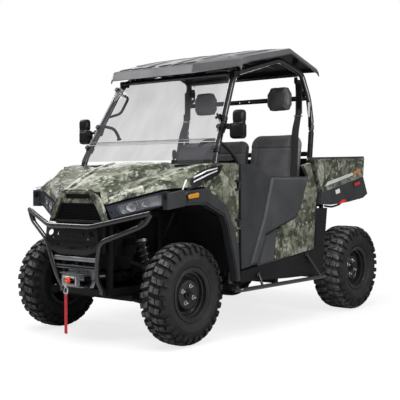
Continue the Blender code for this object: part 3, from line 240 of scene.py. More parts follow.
def grained_vinyl():
    """Seat vinyl: small pebbled cells, softly worn on top."""
    look = Look("grained_vinyl", (0.026, 0.026, 0.028), 0.55, **{"Specular IOR Level": 0.35})
    wear = look.noise(8.0, 3.0)
    look.set({"Base Color": look.mix(wear.ramp(0.35, 0.75), (0.1, 0.1, 0.105), (0.165, 0.165, 0.172)),
              "Roughness": wear * 0.2 + 0.4})
    pebble = look.cells(420.0, None, "SMOOTH_F1") + look.noise(120.0, 2.0) * 0.4
    return look.height(pebble, 0.00035)


def webbing(name, colour):
    """Woven strap: ribs that cross at right angles, with painted shade between them."""
    look = Look(name, colour, 0.85, **{"Sheen Weight": 0.3})
    waves = [look.node("ShaderNodeTexWave", {"Vector": look.moved(turn=(0, slant, 0)), "Scale": 900.0 / 6.28},
                       bands_direction="Z") for slant in (0.78, -0.78)]
    weave = waves[0] * waves[1]
    # Darker between the ribs as painted shade, with random tone from the noise
    look.set({"Base Color": look.mix(weave + look.noise(30.0, 3.0) * 0.5, faded(colour, 0.55), colour)})
    return look.height(weave, 0.0004)


def clear_sheet(name, tint, alpha):
    """Clear plastic sheet or lens: a thin grey veil in faint slanting streaks."""
    look = Look(name, tint, 0.03, IOR=1.49)
    haze = look.noise(3.0, 3.0, look.moved((2.4, 2.4, 0.5), (0.0, 0.75, 0.0)))
    return look.set({"Alpha": haze.ramp(0.3, 0.72) * 0.07 + alpha, "Roughness": haze * 0.04 + 0.03})


def lens(name, colour):
    """Coloured lamp lens with a fine prism pattern."""
    look = Look(name, colour, 0.12, **{"Coat Weight": 0.8, "Coat Roughness": 0.05})
    prism = look.cells(160.0)
    look.set({"Base Color": look.mix(prism, faded(colour, 0.6), colour)})
    return look.height(prism, 0.0004)


def polished_edge():
    """Cut edge of the clear screen, painted pale grey as a painted glint."""
    look = Look("screen_edge", (0.55, 0.57, 0.57), 0.15)
    return look.set({"Roughness": look.noise(30.0) * 0.1 + 0.1})


CAMO = camouflage()
DARK = moulded("dark_grey_plastic", (0.03, 0.031, 0.034), 0.46)
PANEL = moulded("door_panel_plastic", (0.046, 0.047, 0.051), 0.42)
BLACK = moulded("black_plastic", (0.008, 0.008, 0.009), 0.48)
# Roof plastic, paler than the black underside: painted light on the roof's top
ROOF_PAINTED_LIGHT = moulded("roof_plastic_painted_light", (0.05, 0.05, 0.054), 0.3, shine=0.5)
SATIN = moulded("satin_black", (0.006, 0.006, 0.007), 0.36, shine=0.3)
COAT = coated("black_powder_coat", (0.007, 0.007, 0.008), 0.25)
RIM = moulded("rim_paint", (0.01, 0.01, 0.011), 0.3, shine=0.45)
UNDER = moulded("chassis_paint", (0.008, 0.008, 0.009), 0.5)
STEEL = bare_metal("bare_steel", (0.5, 0.51, 0.53), 0.34)
PLATE = bare_metal("galvanised_plate", (0.42, 0.43, 0.46), 0.45, (40, 40, 40))
CHROME = bare_metal("plated_nut", (0.9, 0.91, 0.92), 0.26)
CAST = bare_metal("cast_alloy", (0.26, 0.26, 0.27), 0.55, (30, 30, 30))
SPRING = coated("spring_paint", (0.02, 0.02, 0.021), 0.3)
RUBBER = tyre_rubber()
SOFT_RUBBER = moulded("soft_rubber", (0.018, 0.018, 0.019), 0.72)
VINYL = grained_vinyl()
BELT = webbing("black_webbing", (0.014, 0.014, 0.015))
RED_STRAP = webbing("red_webbing", (0.8, 0.008, 0.03))
CLEAR = clear_sheet("clear_screen", (0.1, 0.1, 0.11), 0.195)
LENS = clear_sheet("lamp_lens", (0.22, 0.23, 0.25), 0.05)
MIRROR = bare_metal("mirror_silver", (0.86, 0.87, 0.88), 0.12)
# Pale plastic standing in for the chrome reflector: a painted reflection
LAMP_PAINTED_REFLECTION = moulded("lamp_bowl_painted_reflection", (0.6, 0.61, 0.64), 0.28, shine=0.8)
HOUSING = moulded("lamp_housing", (0.022, 0.026, 0.036), 0.3, shine=0.4)
SILVER = bare_metal("lamp_reflector", (0.8, 0.81, 0.83), 0.2)
AMBER = lens("amber_lens", (0.66, 0.3, 0.02))
RED_LENS = lens("red_lens", (0.55, 0.012, 0.01))
RED_PLASTIC = moulded("red_plastic", (0.55, 0.015, 0.012), 0.35)
ORANGE = moulded("orange_rubber", (0.8, 0.075, 0.015), 0.45)
WHITE = moulded("pale_plastic", (0.6, 0.61, 0.62), 0.45)
STRIPE = moulded("grey_stripe", (0.42, 0.43, 0.42), 0.35)
STRIPE_END = moulded("stripe_end", (0.42, 0.13, 0.03), 0.35)
VISOR = moulded("visor_grey", (0.135, 0.136, 0.142), 0.42)
EXHAUST = bare_metal("exhaust_steel", (0.3, 0.28, 0.26), 0.5)
SCREEN_EDGE = polished_edge()


# Mesh building

def rounded(points, reach, steps=5):
    """The path with its inner corners turned into arcs."""
    points = [Vector(p) for p in points]
    path = [points[0]]
    for before, here, after in zip(points, points[1:], points[2:]):
        a = here + (before - here).normalized() * min(reach, (before - here).length * 0.45)
        b = here + (after - here).normalized() * min(reach, (after - here).length * 0.45)
        for k in range(steps + 1):
            t = k / steps
            path.append(a * (1 - t) ** 2 + here * 2 * t * (1 - t) + b * t ** 2)
    path.append(points[-1])
    return path


def flip(point, side):
    """The point on the asked side of the vehicle, drawn for the left."""
    return (point[0] * side, point[1], point[2])


def angles(count):
    """Equal steps of angle round a circle."""
    return [2 * math.pi * k / count for k in range(count)]


class Shape:
    """Gathers the faces of one piece, in metres in the vehicle's frame."""

    def __init__(self):
        self.bm = bmesh.new()
        self.finish = 0
        self.painted = 0

    def paint(self, finish):
        """Faces made from here on take this finish of the piece's list."""
        self.mark()
        self.finish = finish
        return self

    def mark(self):
        """Give the new faces the finish in hand."""
        self.bm.faces.ensure_lookup_table()
        for face in self.bm.faces[self.painted:]:
            face.material_index = self.finish
        self.painted = len(self.bm.faces)

    def rings(self, rings, close=True, caps=True):
        """Skin a list of equal rings of points."""
        made = [[self.bm.verts.new(p) for p in ring] for ring in rings]
        count = len(made[0])
        spans = count if close else count - 1
        for lower, upper in zip(made, made[1:]):
            for i in range(spans):
                j = (i + 1) % count
                self.bm.faces.new((lower[i], lower[j], upper[j], upper[i]))
        if caps:
            self.bm.faces.new(made[0][::-1])
            self.bm.faces.new(made[-1])
        return self

    def box(self, low, high, edge=0.0, steps=2):
        """A block between two corners, its edges rounded where a width is given."""
        made = bmesh.ops.create_cube(self.bm, size=1.0)["verts"]
        for vert in made:
            vert.co = Vector([a + (b - a) * (c + 0.5) for a, b, c in zip(low, high, vert.co)])
        if edge:
            edges = dict.fromkeys(e for v in made for e in v.link_edges)
            bmesh.ops.bevel(self.bm, geom=list(edges), offset=edge, segments=steps, profile=0.5,
                            affect="EDGES")
        return self

    def boxes(self, low, high, edge=0.0, steps=2):
        """The same box on the left and on the right."""
        self.box(low, high, edge, steps)
        return self.box((-high[0], low[1], low[2]), (-low[0], high[1], high[2]), edge, steps)

    def prism(self, outline, low, high, axis="X"):
        """An outline, (y, z) for X or (x, z) for Y, drawn out from low to high."""
        place = {"X": lambda u, v, w: (w, u, v), "Y": lambda u, v, w: (u, w, v)}[axis]
        return self.rings([[place(u, v, w) for u, v in outline] for w in (low, high)])

    def sweep(self, path, radius, sides=16, loop=False, reach=None, steps=5):
        """A tube along a path, whose corners are rounded within their reach."""
        path = rounded(path, reach, steps) if reach else [Vector(p) for p in path]
        side = Vector((0, 0, 1))
        rings = []
        count = len(path)
        for i, point in enumerate(path):
            before = path[i - 1] if (i or loop) else point
            after = path[(i + 1) % count] if (i < count - 1 or loop) else point
            along = (after - before).normalized()
            across = along.cross(side)
            if across.length < 0.05:
                across = along.cross(Vector((0, 1, 0)))
            if rings and across.dot(last) < 0:
                across = -across
            across.normalize()
            last = across
            up = across.cross(along)
            size = radius[i] if isinstance(radius, (list, tuple)) else radius
            rings.append([point + across * size * math.cos(a) + up * size * math.sin(a)
                          for a in angles(sides)])
        if loop:
            rings.append(rings[0])
        return self.rings(rings, caps=not loop)

    def rod(self, start, end, radius, radius2=None, sides=24):
        """A round bar, or a cone where a second radius is given."""
        start, end = Vector(start), Vector(end)
        along = (end - start).normalized()
        across = along.orthogonal().normalized()
        up = along.cross(across)
        sizes = (radius, radius if radius2 is None else radius2)
        return self.rings([[p + (across * math.cos(a) + up * math.sin(a)) * r for a in angles(sides)]
                           for p, r in zip((start, end), sizes)])

    def rods(self, start, end, radius):
        """The same round bar on the left and on the right."""
        self.rod(start, end, radius)
        return self.rod(flip(start, -1), flip(end, -1), radius)

    def lathe(self, profile, centre, steps=72, axis="X"):
        """Turn a closed (radius, along) profile about an axis through the centre."""
        x, y, z = centre
        if axis == "X":
            rings = [[(x + a, y + r * math.cos(t), z + r * math.sin(t)) for r, a in profile]
                     for t in angles(steps)]
        else:
            rings = [[(x + r * math.cos(t), y + a, z + r * math.sin(t)) for r, a in profile]
                     for t in angles(steps)]
        rings.append(rings[0])
        return self.rings(rings, caps=False)

    def coil(self, start, end, radius, wire, turns):
        """A helical spring between two points."""
        start, end = Vector(start), Vector(end)
        along = end - start
        across = along.orthogonal().normalized()
        up = along.normalized().cross(across)
        count = int(turns * 20)
        spin = [2 * math.pi * turns * k / count for k in range(count + 1)]
        path = [start + along * (k / count) + (across * math.cos(a) + up * math.sin(a)) * radius
                for k, a in enumerate(spin)]
        return self.sweep(path, wire, 8)

    def hexagon(self, centre, out, radius, height):
        """A nut or bolt head standing on a surface."""
        centre, out = Vector(centre), Vector(out).normalized()
        return self.rod(centre, centre + out * height, radius, radius * 0.92, 6)

    def sheet(self, rows):
        """An open skin over rows of points."""
        return self.rings(rows, close=False, caps=False)

    def mesh(self, name, mirror=False):
        """The gathered faces as a mesh, mirrored to the other side where asked."""
        self.mark()
        bmesh.ops.remove_doubles(self.bm, verts=self.bm.verts, dist=0.00002)
        if mirror:
            for vert in self.bm.verts:
                vert.co.x = -vert.co.x
        bmesh.ops.recalc_face_normals(self.bm, faces=self.bm.faces)
        made = bpy.data.meshes.new(name)
        self.bm.to_mesh(made)
        return made

    def done(self, name, looks, body, slot, *nodes, mirror=False, **shading):
        """Make the object, ride it on its body and let it stand for its nodes."""
        mesh = self.mesh(name, mirror)
        obj = bpy.data.objects.new(name, mesh)
        bpy.context.scene.collection.objects.link(obj)
        for look in looks if isinstance(looks, (list, tuple)) else [looks]:
            mesh.materials.append(look.material)
        finish_shading(obj, **shading)
        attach(obj, body)
        if nodes:
            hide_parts(*nodes)
        return obj

    def pair(self, name, looks, body, slot, *nodes, **settings):
        """The left piece and its mirror image; names with {} take each side's word."""
        for word, side in SIDES:
            self.done(f"{name}_{word}", looks, body.format(word), slot, *[n.format(word) for n in nodes],
                      mirror=side < 0, **settings)
        self.bm.free()


def finish_shading(obj, edge=0.0, steps=2, smooth=0, wall=0.0, offset=0.0, sharp=38.0):
    """Wall thickness, smoothing and rounded edges as modifiers, and smooth normals between sharp edges."""
    if wall:
        thick = obj.modifiers.new("wall", "SOLIDIFY")
        thick.thickness = wall
        thick.offset = offset
        thick.use_even_offset = True
    if smooth:
        round_off = obj.modifiers.new("smooth", "SUBSURF")
        round_off.levels = round_off.render_levels = smooth
    obj.data.shade_smooth()
    if not smooth:
        obj.data.set_sharp_from_angle(angle=math.radians(sharp))
    if edge:
        bevel = obj.modifiers.new("edge", "BEVEL")
        bevel.width = edge
        bevel.segments = steps
        bevel.limit_method = "ANGLE"
        bevel.angle_limit = math.radians(32.0)
        bevel.harden_normals = True


def settled(obj):
    """A mesh of the object with its modifiers worked in."""
    return bpy.data.meshes.new_from_object(obj.evaluated_get(bpy.context.evaluated_depsgraph_get()))


def dress(node, look, edge, steps=2):
    """A copy of a right-shaped solid with softened edges, which stands for it."""
    obj = bpy.data.objects.new("trim_" + node, frame["nodes"][node].data.copy())
    bpy.context.scene.collection.objects.link(obj)
    bm = bmesh.new()
    bm.from_mesh(obj.data)
    bmesh.ops.remove_doubles(bm, verts=bm.verts, dist=0.00001)
    bmesh.ops.dissolve_limit(bm, angle_limit=math.radians(0.6), verts=bm.verts, edges=bm.edges)
    bmesh.ops.recalc_face_normals(bm, faces=bm.faces)
    bm.to_mesh(obj.data)
    bm.free()
    obj.data.materials.clear()
    obj.data.materials.append(look.material)
    finish_shading(obj, edge, steps, sharp=32.0)
    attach(obj, BODY_OF[node])
    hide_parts(node)
    return obj


# Wheels

def band(profile, along):
    """Point and outward normal on a section line, at a length along it from the first point."""
    for (r0, a0), (r1, a1) in zip(profile, profile[1:]):
        length = math.hypot(r1 - r0, a1 - a0)
        if along <= length or (r1, a1) == profile[-1]:
            t = along / length
            return (r0 + (r1 - r0) * t, a0 + (a1 - a0) * t), (-(a0 - a1) / length, -(r1 - r0) / length)
        along -= length


def lug(shape, profile, radius, corners, lift, across, up):
    """One tread block wrapped on the carcass. Corners are (round, along the section)."""
    (u0, s0), (u1, s1), (u2, s2), (u3, s3) = corners
    pieces = max(2, int(abs(s2 - s0) / 0.014) + 1)
    low, high = [], []
    for i in range(pieces + 1):
        t = i / pieces
        left = (u0 + (u3 - u0) * t, s0 + (s3 - s0) * t)
        right = (u1 + (u2 - u1) * t, s1 + (s2 - s1) * t)
        for row, rise, spread in ((low, -0.004, 0.0026), (high, lift, 0.0)):
            line = []
            for k, (u, s) in enumerate((left, right)):
                u += spread * (-1 if k == 0 else 1)
                (r, a), (nr, na) = band(profile, s)
                r, a = r + nr * rise, a + na * rise
                turn = up + u / radius
                line.append(Vector((a * across, r * math.cos(turn), r * math.sin(turn))))
            row.append(line)
    ring = [row[0] for row in low] + [row[1] for row in reversed(low)]
    top = [row[0] for row in high] + [row[1] for row in reversed(high)]
    verts_low = [shape.bm.verts.new(p) for p in ring]
    verts_high = [shape.bm.verts.new(p) for p in top]
    count = len(ring)
    for i in range(count):
        j = (i + 1) % count
        shape.bm.faces.new((verts_low[i], verts_low[j], verts_high[j], verts_high[i]))
    for i in range(pieces):
        shape.bm.faces.new([verts_high[k] for k in (i, i + 1, count - 2 - i, count - 1 - i)])


# Tread blocks of one pitch, (round the tyre, along its section), and the tyre that they are drawn for
LUGS_ROUND = 16
DRAWN_PITCH = 0.113
DRAWN_HALF = 0.095
MIDDLE_RIB = 0.02
BLOCKS = [[[(-0.014, 0.006), (0.016, 0.01), (0.026, 0.044), (-0.004, 0.04)],
           [(-0.002, 0.046), (0.028, 0.05), (0.034, 0.078), (0.004, 0.076)],
           [(0.005, 0.082), (0.033, 0.084), (0.036, 0.112), (0.01, 0.114)]],
          [[(-0.019, 0.004), (0.012, 0.002), (0.02, 0.03), (-0.01, 0.034)],
           [(-0.008, 0.04), (0.022, 0.036), (0.026, 0.064), (-0.002, 0.066)],
           [(0.001, 0.071), (0.029, 0.07), (0.032, 0.1), (0.004, 0.102)]]]


def tyre(place, centre, side, radius, width, rim_width):
    """Carcass with bulged sidewalls, and angled lugs that wrap over the shoulder."""
    half = width / 2
    bead = rim_width / 2 - 0.0063
    lift = 0.017
    base = radius - lift
    crown = [(base, 0.0), (base - 0.001, half - 0.052), (base - 0.01, half - 0.026),
             (radius - 0.046, half - 0.014), (radius - 0.085, half - 0.004)]
    wall = [(radius - 0.1, half - 0.001), (0.21, half - 0.001), (0.196, half - 0.005), (0.184, half - 0.013),
            (0.174, bead + 0.006), (0.17, bead + 0.001), (0.1503, bead)]
    line = crown + wall
    rib = [(radius - 0.0935, half + 0.0012), (radius - 0.096, half + 0.0012)]
    outer = crown + rib + wall
    shape = Shape()
    shape.lathe(outer + [(r, -a) for r, a in reversed(outer[1:])], (0, 0, 0), 96)
    longer = 2 * math.pi * radius / LUGS_ROUND / DRAWN_PITCH
    wider = half / DRAWN_HALF
    for n in range(LUGS_ROUND):
        for across, start in ((1, 0.0), (-1, 0.25)):
            for half_step in (0, 1):
                up = 2 * math.pi * (n + start + half_step * 0.5) / LUGS_ROUND
                for corners in BLOCKS[half_step]:
                    fit = [(side * u * longer, s if s < MIDDLE_RIB else s * wider) for u, s in corners]
                    if side < 0:
                        fit = [fit[1], fit[0], fit[3], fit[2]]
                    lug(shape, line, radius, fit, lift - 0.0004, across, up)
    body = f"wheel_{place}"
    obj = shape.done(f"tyre_tread_{place}", RUBBER, body, "tyre", f"tyre_{place}", edge=0.0012, steps=1)
    put(obj, centre, side, body)


def put(obj, centre, side, body):
    """Move a piece built round its axle to its wheel, outboard side out."""
    obj.parent = None
    obj.matrix_world = Matrix.Translation(centre) @ Matrix.Rotation(0.0 if side > 0 else math.pi, 4, "Z")
    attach(obj, body)


def rim(place, centre, side, rim_width, hub_out):
    """Black pressed steel wheel: rolled lip, stepped barrel, domed disc, lug nuts and a hub cap."""
    edge = rim_width / 2
    shape = Shape()
    shape.lathe([
        (0.166, edge - 0.001), (0.1655, edge - 0.0055), (0.151, edge - 0.006), (0.15, edge - 0.009),
        (0.15, -edge + 0.007), (0.1655, -edge + 0.006), (0.166, -edge + 0.001), (0.144, -edge),
        (0.144, -0.01), (0.135, hub_out - 0.045), (0.09, hub_out - 0.012), (0.033, hub_out - 0.01),
        (0.033, hub_out - 0.001), (0.04, hub_out), (0.072, hub_out), (0.08, hub_out + 0.003),
        (0.087, hub_out + 0.003), (0.091, hub_out - 0.003), (0.1, hub_out - 0.016),
        (0.11, hub_out - 0.022), (0.122, hub_out - 0.022), (0.1275, hub_out - 0.016), (0.13, edge - 0.034),
        (0.1385, edge - 0.031), (0.14, edge - 0.028), (0.142, edge - 0.008), (0.148, edge - 0.006),
        (0.151, edge - 0.002), (0.158, edge + 0.0005), (0.164, edge + 0.0005)], (0, 0, 0), 96)
    shape.paint(1)
    for k in range(4):
        turn = math.radians(65 + 90 * k)
        at = Vector((hub_out, 0.055 * math.cos(turn), 0.055 * math.sin(turn)))
        shape.rod(at, at + Vector((0.002, 0, 0)), 0.0135, 0.0135, 24)
        shape.hexagon(at + Vector((0.002, 0, 0)), (1, 0, 0), 0.0105, 0.011)
        shape.rod(at + Vector((0.013, 0, 0)), at + Vector((0.02, 0, 0)), 0.0085, 0.0045, 12)
    shape.paint(2)
    shape.lathe([(0.0, hub_out - 0.004), (0.0315, hub_out - 0.004), (0.0315, hub_out + 0.004),
                 (0.029, hub_out + 0.008), (0.02, hub_out + 0.009), (0.019, hub_out + 0.006),
                 (0.0, hub_out + 0.005)], (0, 0, 0), 36)
    shape.hexagon((hub_out + 0.004, 0, 0), (1, 0, 0), 0.0135, 0.012)
    up, across = math.sin(2.0), math.cos(2.0)
    stem = Vector((edge - 0.03, 0.136 * across, 0.136 * up))
    shape.rod(stem, stem + Vector((0.022, -0.006 * across, -0.006 * up)), 0.0045, 0.0038, 12)
    body = f"wheel_{place}"
    looks = [RIM, CHROME, SATIN]
    obj = shape.done(f"rim_disc_{place}", looks, body, "black_steel", f"rim_{place}", sharp=30.0)
    put(obj, centre, side, body)


def wheels():
    """A tyre and a rim at each corner."""
    for word, side in SIDES:
        for axle, (y, half_track, radius, width, rim_width, hub_out) in AXLES.items():
            centre = Vector((half_track * side, y, radius))
            tyre(f"{axle}_{word}", centre, side, radius, width, rim_width)
            rim(f"{axle}_{word}", centre, side, rim_width, hub_out)


# Cage, bumper and steps

def holed_plate(shape, outlines, low, high, edge=0.0):
    """A plate across the y axis: the first (x, z) outline is its rim, the others are openings."""
    curve = bpy.data.curves.new("plate", "CURVE")
    curve.dimensions = "2D"
    curve.fill_mode = "BOTH"
    curve.extrude = (high - low) / 2 - edge
    curve.bevel_depth = edge
    curve.offset = -edge
    curve.bevel_resolution = 1
    for outline in outlines:
        spline = curve.splines.new("POLY")
        spline.points.add(len(outline) - 1)
        for point, (u, v) in zip(spline.points, outline):
            point.co = (u, v, 0.0, 1.0)
        spline.use_cyclic_u = True
    obj = bpy.data.objects.new("plate", curve)
    bpy.context.scene.collection.objects.link(obj)
    bpy.context.view_layer.update()
    flat = settled(obj)
    flat.transform(Matrix(((1, 0, 0, 0), (0, 0, -1, (high + low) / 2), (0, 1, 0, 0), (0, 0, 0, 1))))
    shape.bm.from_mesh(flat)
    shape.mark()
    bpy.data.objects.remove(obj, do_unlink=True)


def oval(u, v, wide, tall, turn=0.0, steps=20):
    """Points of an ellipse, for holes and bosses."""
    c, s = math.cos(turn), math.sin(turn)
    return [(u + c * wide * math.cos(a) - s * tall * math.sin(a),
             v + s * wide * math.cos(a) + c * tall * math.sin(a)) for a in angles(steps)]


def soft_rect(low, high, radius, steps=4):
    """Outline of a rectangle with rounded corners."""
    left, right = low[0] + radius, high[0] - radius
    bottom, top = low[1] + radius, high[1] - radius
    points = []
    for cx, cy, start in ((right, top, 0.0), (left, top, 0.5), (left, bottom, 1.0), (right, bottom, 1.5)):
        for k in range(steps + 1):
            a = math.pi * (start + 0.5 * k / steps)
            points.append((cx + radius * math.cos(a), cy + radius * math.sin(a)))
    return points


def pillar_at(z):
    """Point on the left front pillar's centre line at a height."""
    low, high = Vector(A_PILLAR[4]), Vector(A_PILLAR[5])
    return low + (high - low) * ((z - low.z) / (high.z - low.z))


def cage():
    """Roll cage: bent side hoops, cross tubes, holed headrest bar and belt brackets."""
    shape = Shape()
    for s in (1, -1):
        path = A_PILLAR + [(0.515, 0.2, 1.862)] + B_PILLAR
        shape.sweep([flip(p, s) for p in path], CAGE_R, 20, reach=0.05, steps=6)
    shape.rod((-0.507, -0.3, 1.722), (0.507, -0.3, 1.722), 0.017)
    shape.rod((-0.535, 0.462, 1.786), (0.535, 0.462, 1.786), 0.019)
    shape.rod((-0.59, 0.502, 1.2), (0.59, 0.502, 1.2), 0.018)
    holes = [oval(x, 1.609, 0.0055, 0.0055) for x in (0.045, -0.045)]
    holed_plate(shape, [soft_rect((-0.572, 1.591), (0.572, 1.627), 0.003)] + holes,
                REST_BAR_Y, REST_BAR_Y + 0.008, 0.001)
    for s in (1, -1):
        tab = [(x * s, z) for x, z in ((0.53, 1.742), (0.5, 1.742), (0.492, 1.7), (0.498, 1.64),
                                       (0.572, 1.6), (0.566, 1.7))]
        holed_plate(shape, [tab, oval(0.512 * s, 1.722, 0.007, 0.007), oval(0.52 * s, 1.668, 0.01, 0.007)],
                    REST_BAR_Y - 0.0015, REST_BAR_Y + 0.0035, 0.0008)
        for z in (0.98, 1.1):
            shape.hexagon((0.584 * s, 0.48, z), (0, -1, 0), 0.008, 0.006)
    shape.paint(1)
    top = pillar_at(1.7)
    shape.boxes((top.x - 0.026, top.y - 0.01, 1.69), (top.x + 0.02, top.y + 0.05, 1.732), 0.006)
    shape.boxes((0.585, 0.4795, 1.395), (0.6105, 0.4812, 1.545))
    shape.done("cage_tubes", [COAT, SATIN], "chassis", "black_steel", "roll_cage", edge=0.0012, steps=1)
    label = Shape()
    label.box((0.583, 0.4788, 1.47), (0.601, 0.4796, 1.575), 0.0004, 1)
    label.done("pillar_label", WHITE, "chassis", "dark_plastic")


def bumper():
    """Bent gloss tubes, cross bars, the pierced plate and the mounting feet."""
    shape = Shape()
    tube = 0.016
    top = [(-0.545, -1.185, 0.812), (-0.19, -1.325, 0.726), (0.19, -1.325, 0.726), (0.545, -1.185, 0.812)]
    shape.sweep(top, tube, 18, reach=0.04)
    loop = [(0.542, -1.183, 0.806), (0.505, -1.192, 0.742), (0.238, -1.298, 0.632), (0.2, -1.285, 0.5),
            (0.178, -1.265, 0.4), (0.178, -1.218, 0.325)]
    for s in (1, -1):
        shape.sweep([flip(p, s) for p in loop], tube, 18, reach=0.035)
    shape.boxes((0.165, -1.232, 0.306), (0.192, -1.212, 0.35), 0.003)
    shape.rods((0.5, -1.196, 0.772), (0.47, -1.206, 0.735), 0.012)
    shape.rods((0.187, -1.262, 0.425), (0.205, -1.225, 0.425), 0.011)
    shape.paint(1)
    shape.box((-0.212, -1.289, 0.507), (0.212, -1.266, 0.534), 0.008, 3)
    shape.paint(3)
    shape.box((-0.203, -1.282, 0.458), (0.203, -1.262, 0.481), 0.006, 3)
    shape.paint(2)
    rim_line = [(-0.235, 0.636), (0.235, 0.636), (0.224, 0.72), (-0.224, 0.72)]
    holes = [oval(s * 0.182, 0.682, 0.025, 0.016, s * -0.5) for s in (1, -1)]
    holes += [oval(s * 0.112, 0.684, 0.006, 0.02, s * 0.35) for s in (1, -1)]
    holes += [oval(x, 0.664, 0.006, 0.0035) for x in (-0.03, -0.012, 0.02, 0.036)]
    holed_plate(shape, [rim_line] + holes, -1.315, -1.31, 0.001)
    lower = [(-0.233, 0.637), (0.233, 0.637), (0.205, 0.575), (0.12, 0.548), (-0.12, 0.548), (-0.205, 0.575)]
    slots = [oval(s * 0.13, 0.604, 0.012, 0.007) for s in (1, -1)] + [oval(0.0, 0.59, 0.03, 0.006)]
    holed_plate(shape, [lower] + slots, -1.303, -1.298, 0.001)
    shape.box((-0.205, -1.222, 0.301), (0.205, -1.2005, 0.335))
    shape.paint(1)
    for x in (-0.155, 0.155):
        shape.hexagon((x, -1.3155, 0.65), (0, -1, 0), 0.007, 0.004)
    shape.done("bumper_bars", [COAT, STEEL, SATIN, PLATE], "chassis", "black_steel", "front_bumper",
               edge=0.001, steps=1)


def winch_parts():
    """Winch behind its roller fairlead, on the pierced silver plate, with rope and clutch."""
    face = FRONT_END + 0.041
    shape = Shape()
    plate = [(-0.068, 0.354), (0.068, 0.354), (0.08, 0.367), (0.08, 0.421), (0.068, 0.434), (-0.068, 0.434),
             (-0.08, 0.421), (-0.08, 0.367)]
    holed_plate(shape, [plate, soft_rect((-0.05, 0.367), (0.05, 0.415), 0.01)],
                face + 0.003, face + 0.009, 0.001)
    rear_plate = [(-0.085, 0.395), (0.15, 0.395), (0.15, 0.459), (-0.085, 0.459)]
    slots = [oval(x, 0.443, 0.008, 0.0042, 0.7) for x in (-0.02, 0.016, 0.052, 0.088)]
    holed_plate(shape, [rear_plate] + slots, -1.256, -1.251, 0.001)
    holed_plate(shape, [[(0.116, 0.348), (0.148, 0.35), (0.166, 0.392), (0.14, 0.4)]],
                -1.268, -1.263, 0.001)
    shape.box((-0.1, face + 0.005, 0.43), (0.1, -1.2155, 0.4365), 0.001)
    shape.box((-0.095, face + 0.004, 0.3515), (0.095, -1.2555, 0.3575), 0.001)
    for s in (1, -1):
        shape.hexagon((s * 0.07, face + 0.003, 0.392), (0, -1, 0), 0.008, 0.007)
    shape.paint(1)
    for z in (0.368, 0.411):
        shape.rod((-0.05, face - 0.005, z), (0.05, face - 0.005, z), 0.007, sides=20)
    for s in (1, -1):
        shape.rod((s * 0.056, face - 0.004, 0.361), (s * 0.056, face - 0.004, 0.419), 0.0065, sides=20)
    shape.paint(2)
    shape.box((-0.118, -1.262, 0.3365), (0.118, -1.203, 0.3595), 0.003)
    for s in (1, -1):
        shape.rod((s * 0.06, *DRUM), (s * 0.118, *DRUM), 0.0295, sides=28)
    for k in range(4):
        shape.rods((0.068 + 0.012 * k, *DRUM), (0.072 + 0.012 * k, *DRUM), 0.0315)
    shape.boxes((0.075, -1.258, 0.345), (0.112, -1.208, 0.372), 0.004)
    shape.paint(1)
    shape.coil((-0.056, *DRUM), (0.056, *DRUM), 0.0215, 0.0034, 16)
    shape.rod((-0.06, *DRUM), (0.06, *DRUM), 0.02)
    shape.rod((0.0, -1.25, 0.385), (0.0, FRONT_END + 0.03, 0.39), 0.0032, sides=10)
    shape.done("winch_unit", [PLATE, CHROME, SATIN], "chassis", "steel", "winch", edge=0.0006, steps=1)

    hook = Shape()
    middle = FRONT_END + 0.0065
    hook.lathe([(0.0, 0.0), (0.018, 0.0), (0.0208, 0.003), (0.0208, 0.0165), (0.018, 0.0195), (0.0, 0.0195)],
               (0.0, FRONT_END + 0.007, 0.39), 32, axis="Y")
    hook.paint(1)
    hook.box((-0.01, FRONT_END + 0.0012, 0.352), (0.01, FRONT_END + 0.0125, 0.396), 0.003)
    hook.rod((-0.014, middle, 0.374), (0.014, middle, 0.374), 0.0042, sides=12)
    hook.sweep([(0.0, middle, 0.358), (0.018, middle, 0.345), (0.0145, middle, 0.318), (0.0, middle, 0.312),
                (-0.014, middle, 0.318), (-0.016, middle, 0.336)],
               [0.0062, 0.0062, 0.0058, 0.0055, 0.005, 0.0038], 12)
    hook.rod((-0.004, middle, 0.354), (-0.016, middle, 0.334), 0.0022, sides=8)
    hook.done("hook_and_stop", [ORANGE, CHROME], "chassis", "steel", "winch_hook", edge=0.0005, steps=1)

    top, low, count = 0.3072, 0.0685, 24
    route = [(0.0, middle, top - (top - low) * k / count) for k in range(count + 1)]
    wide, thick = 0.0124, 0.0013
    web = Shape()
    web.rings([[(-wide, middle - thick, z), (wide, middle - thick, z), (wide, middle + thick, z),
                (-wide, middle + thick, z)] for _, _, z in route])
    strap = web.done("pull_strap", RED_STRAP, "chassis", "red_web", "winch_strap")
    hem = Shape()
    for z in (0.07, 0.29):
        hem.box((-0.0122, middle - 0.0022, z), (0.0122, middle + 0.0022, z + 0.014), 0.0006, 1)
    for z in (0.0735, 0.0805, 0.2935, 0.3005):
        hem.box((-0.0105, middle - 0.0026, z), (0.0105, middle + 0.0026, z + 0.0008))
    sewn = hem.done("strap_hems", RED_STRAP, "chassis", "red_web")


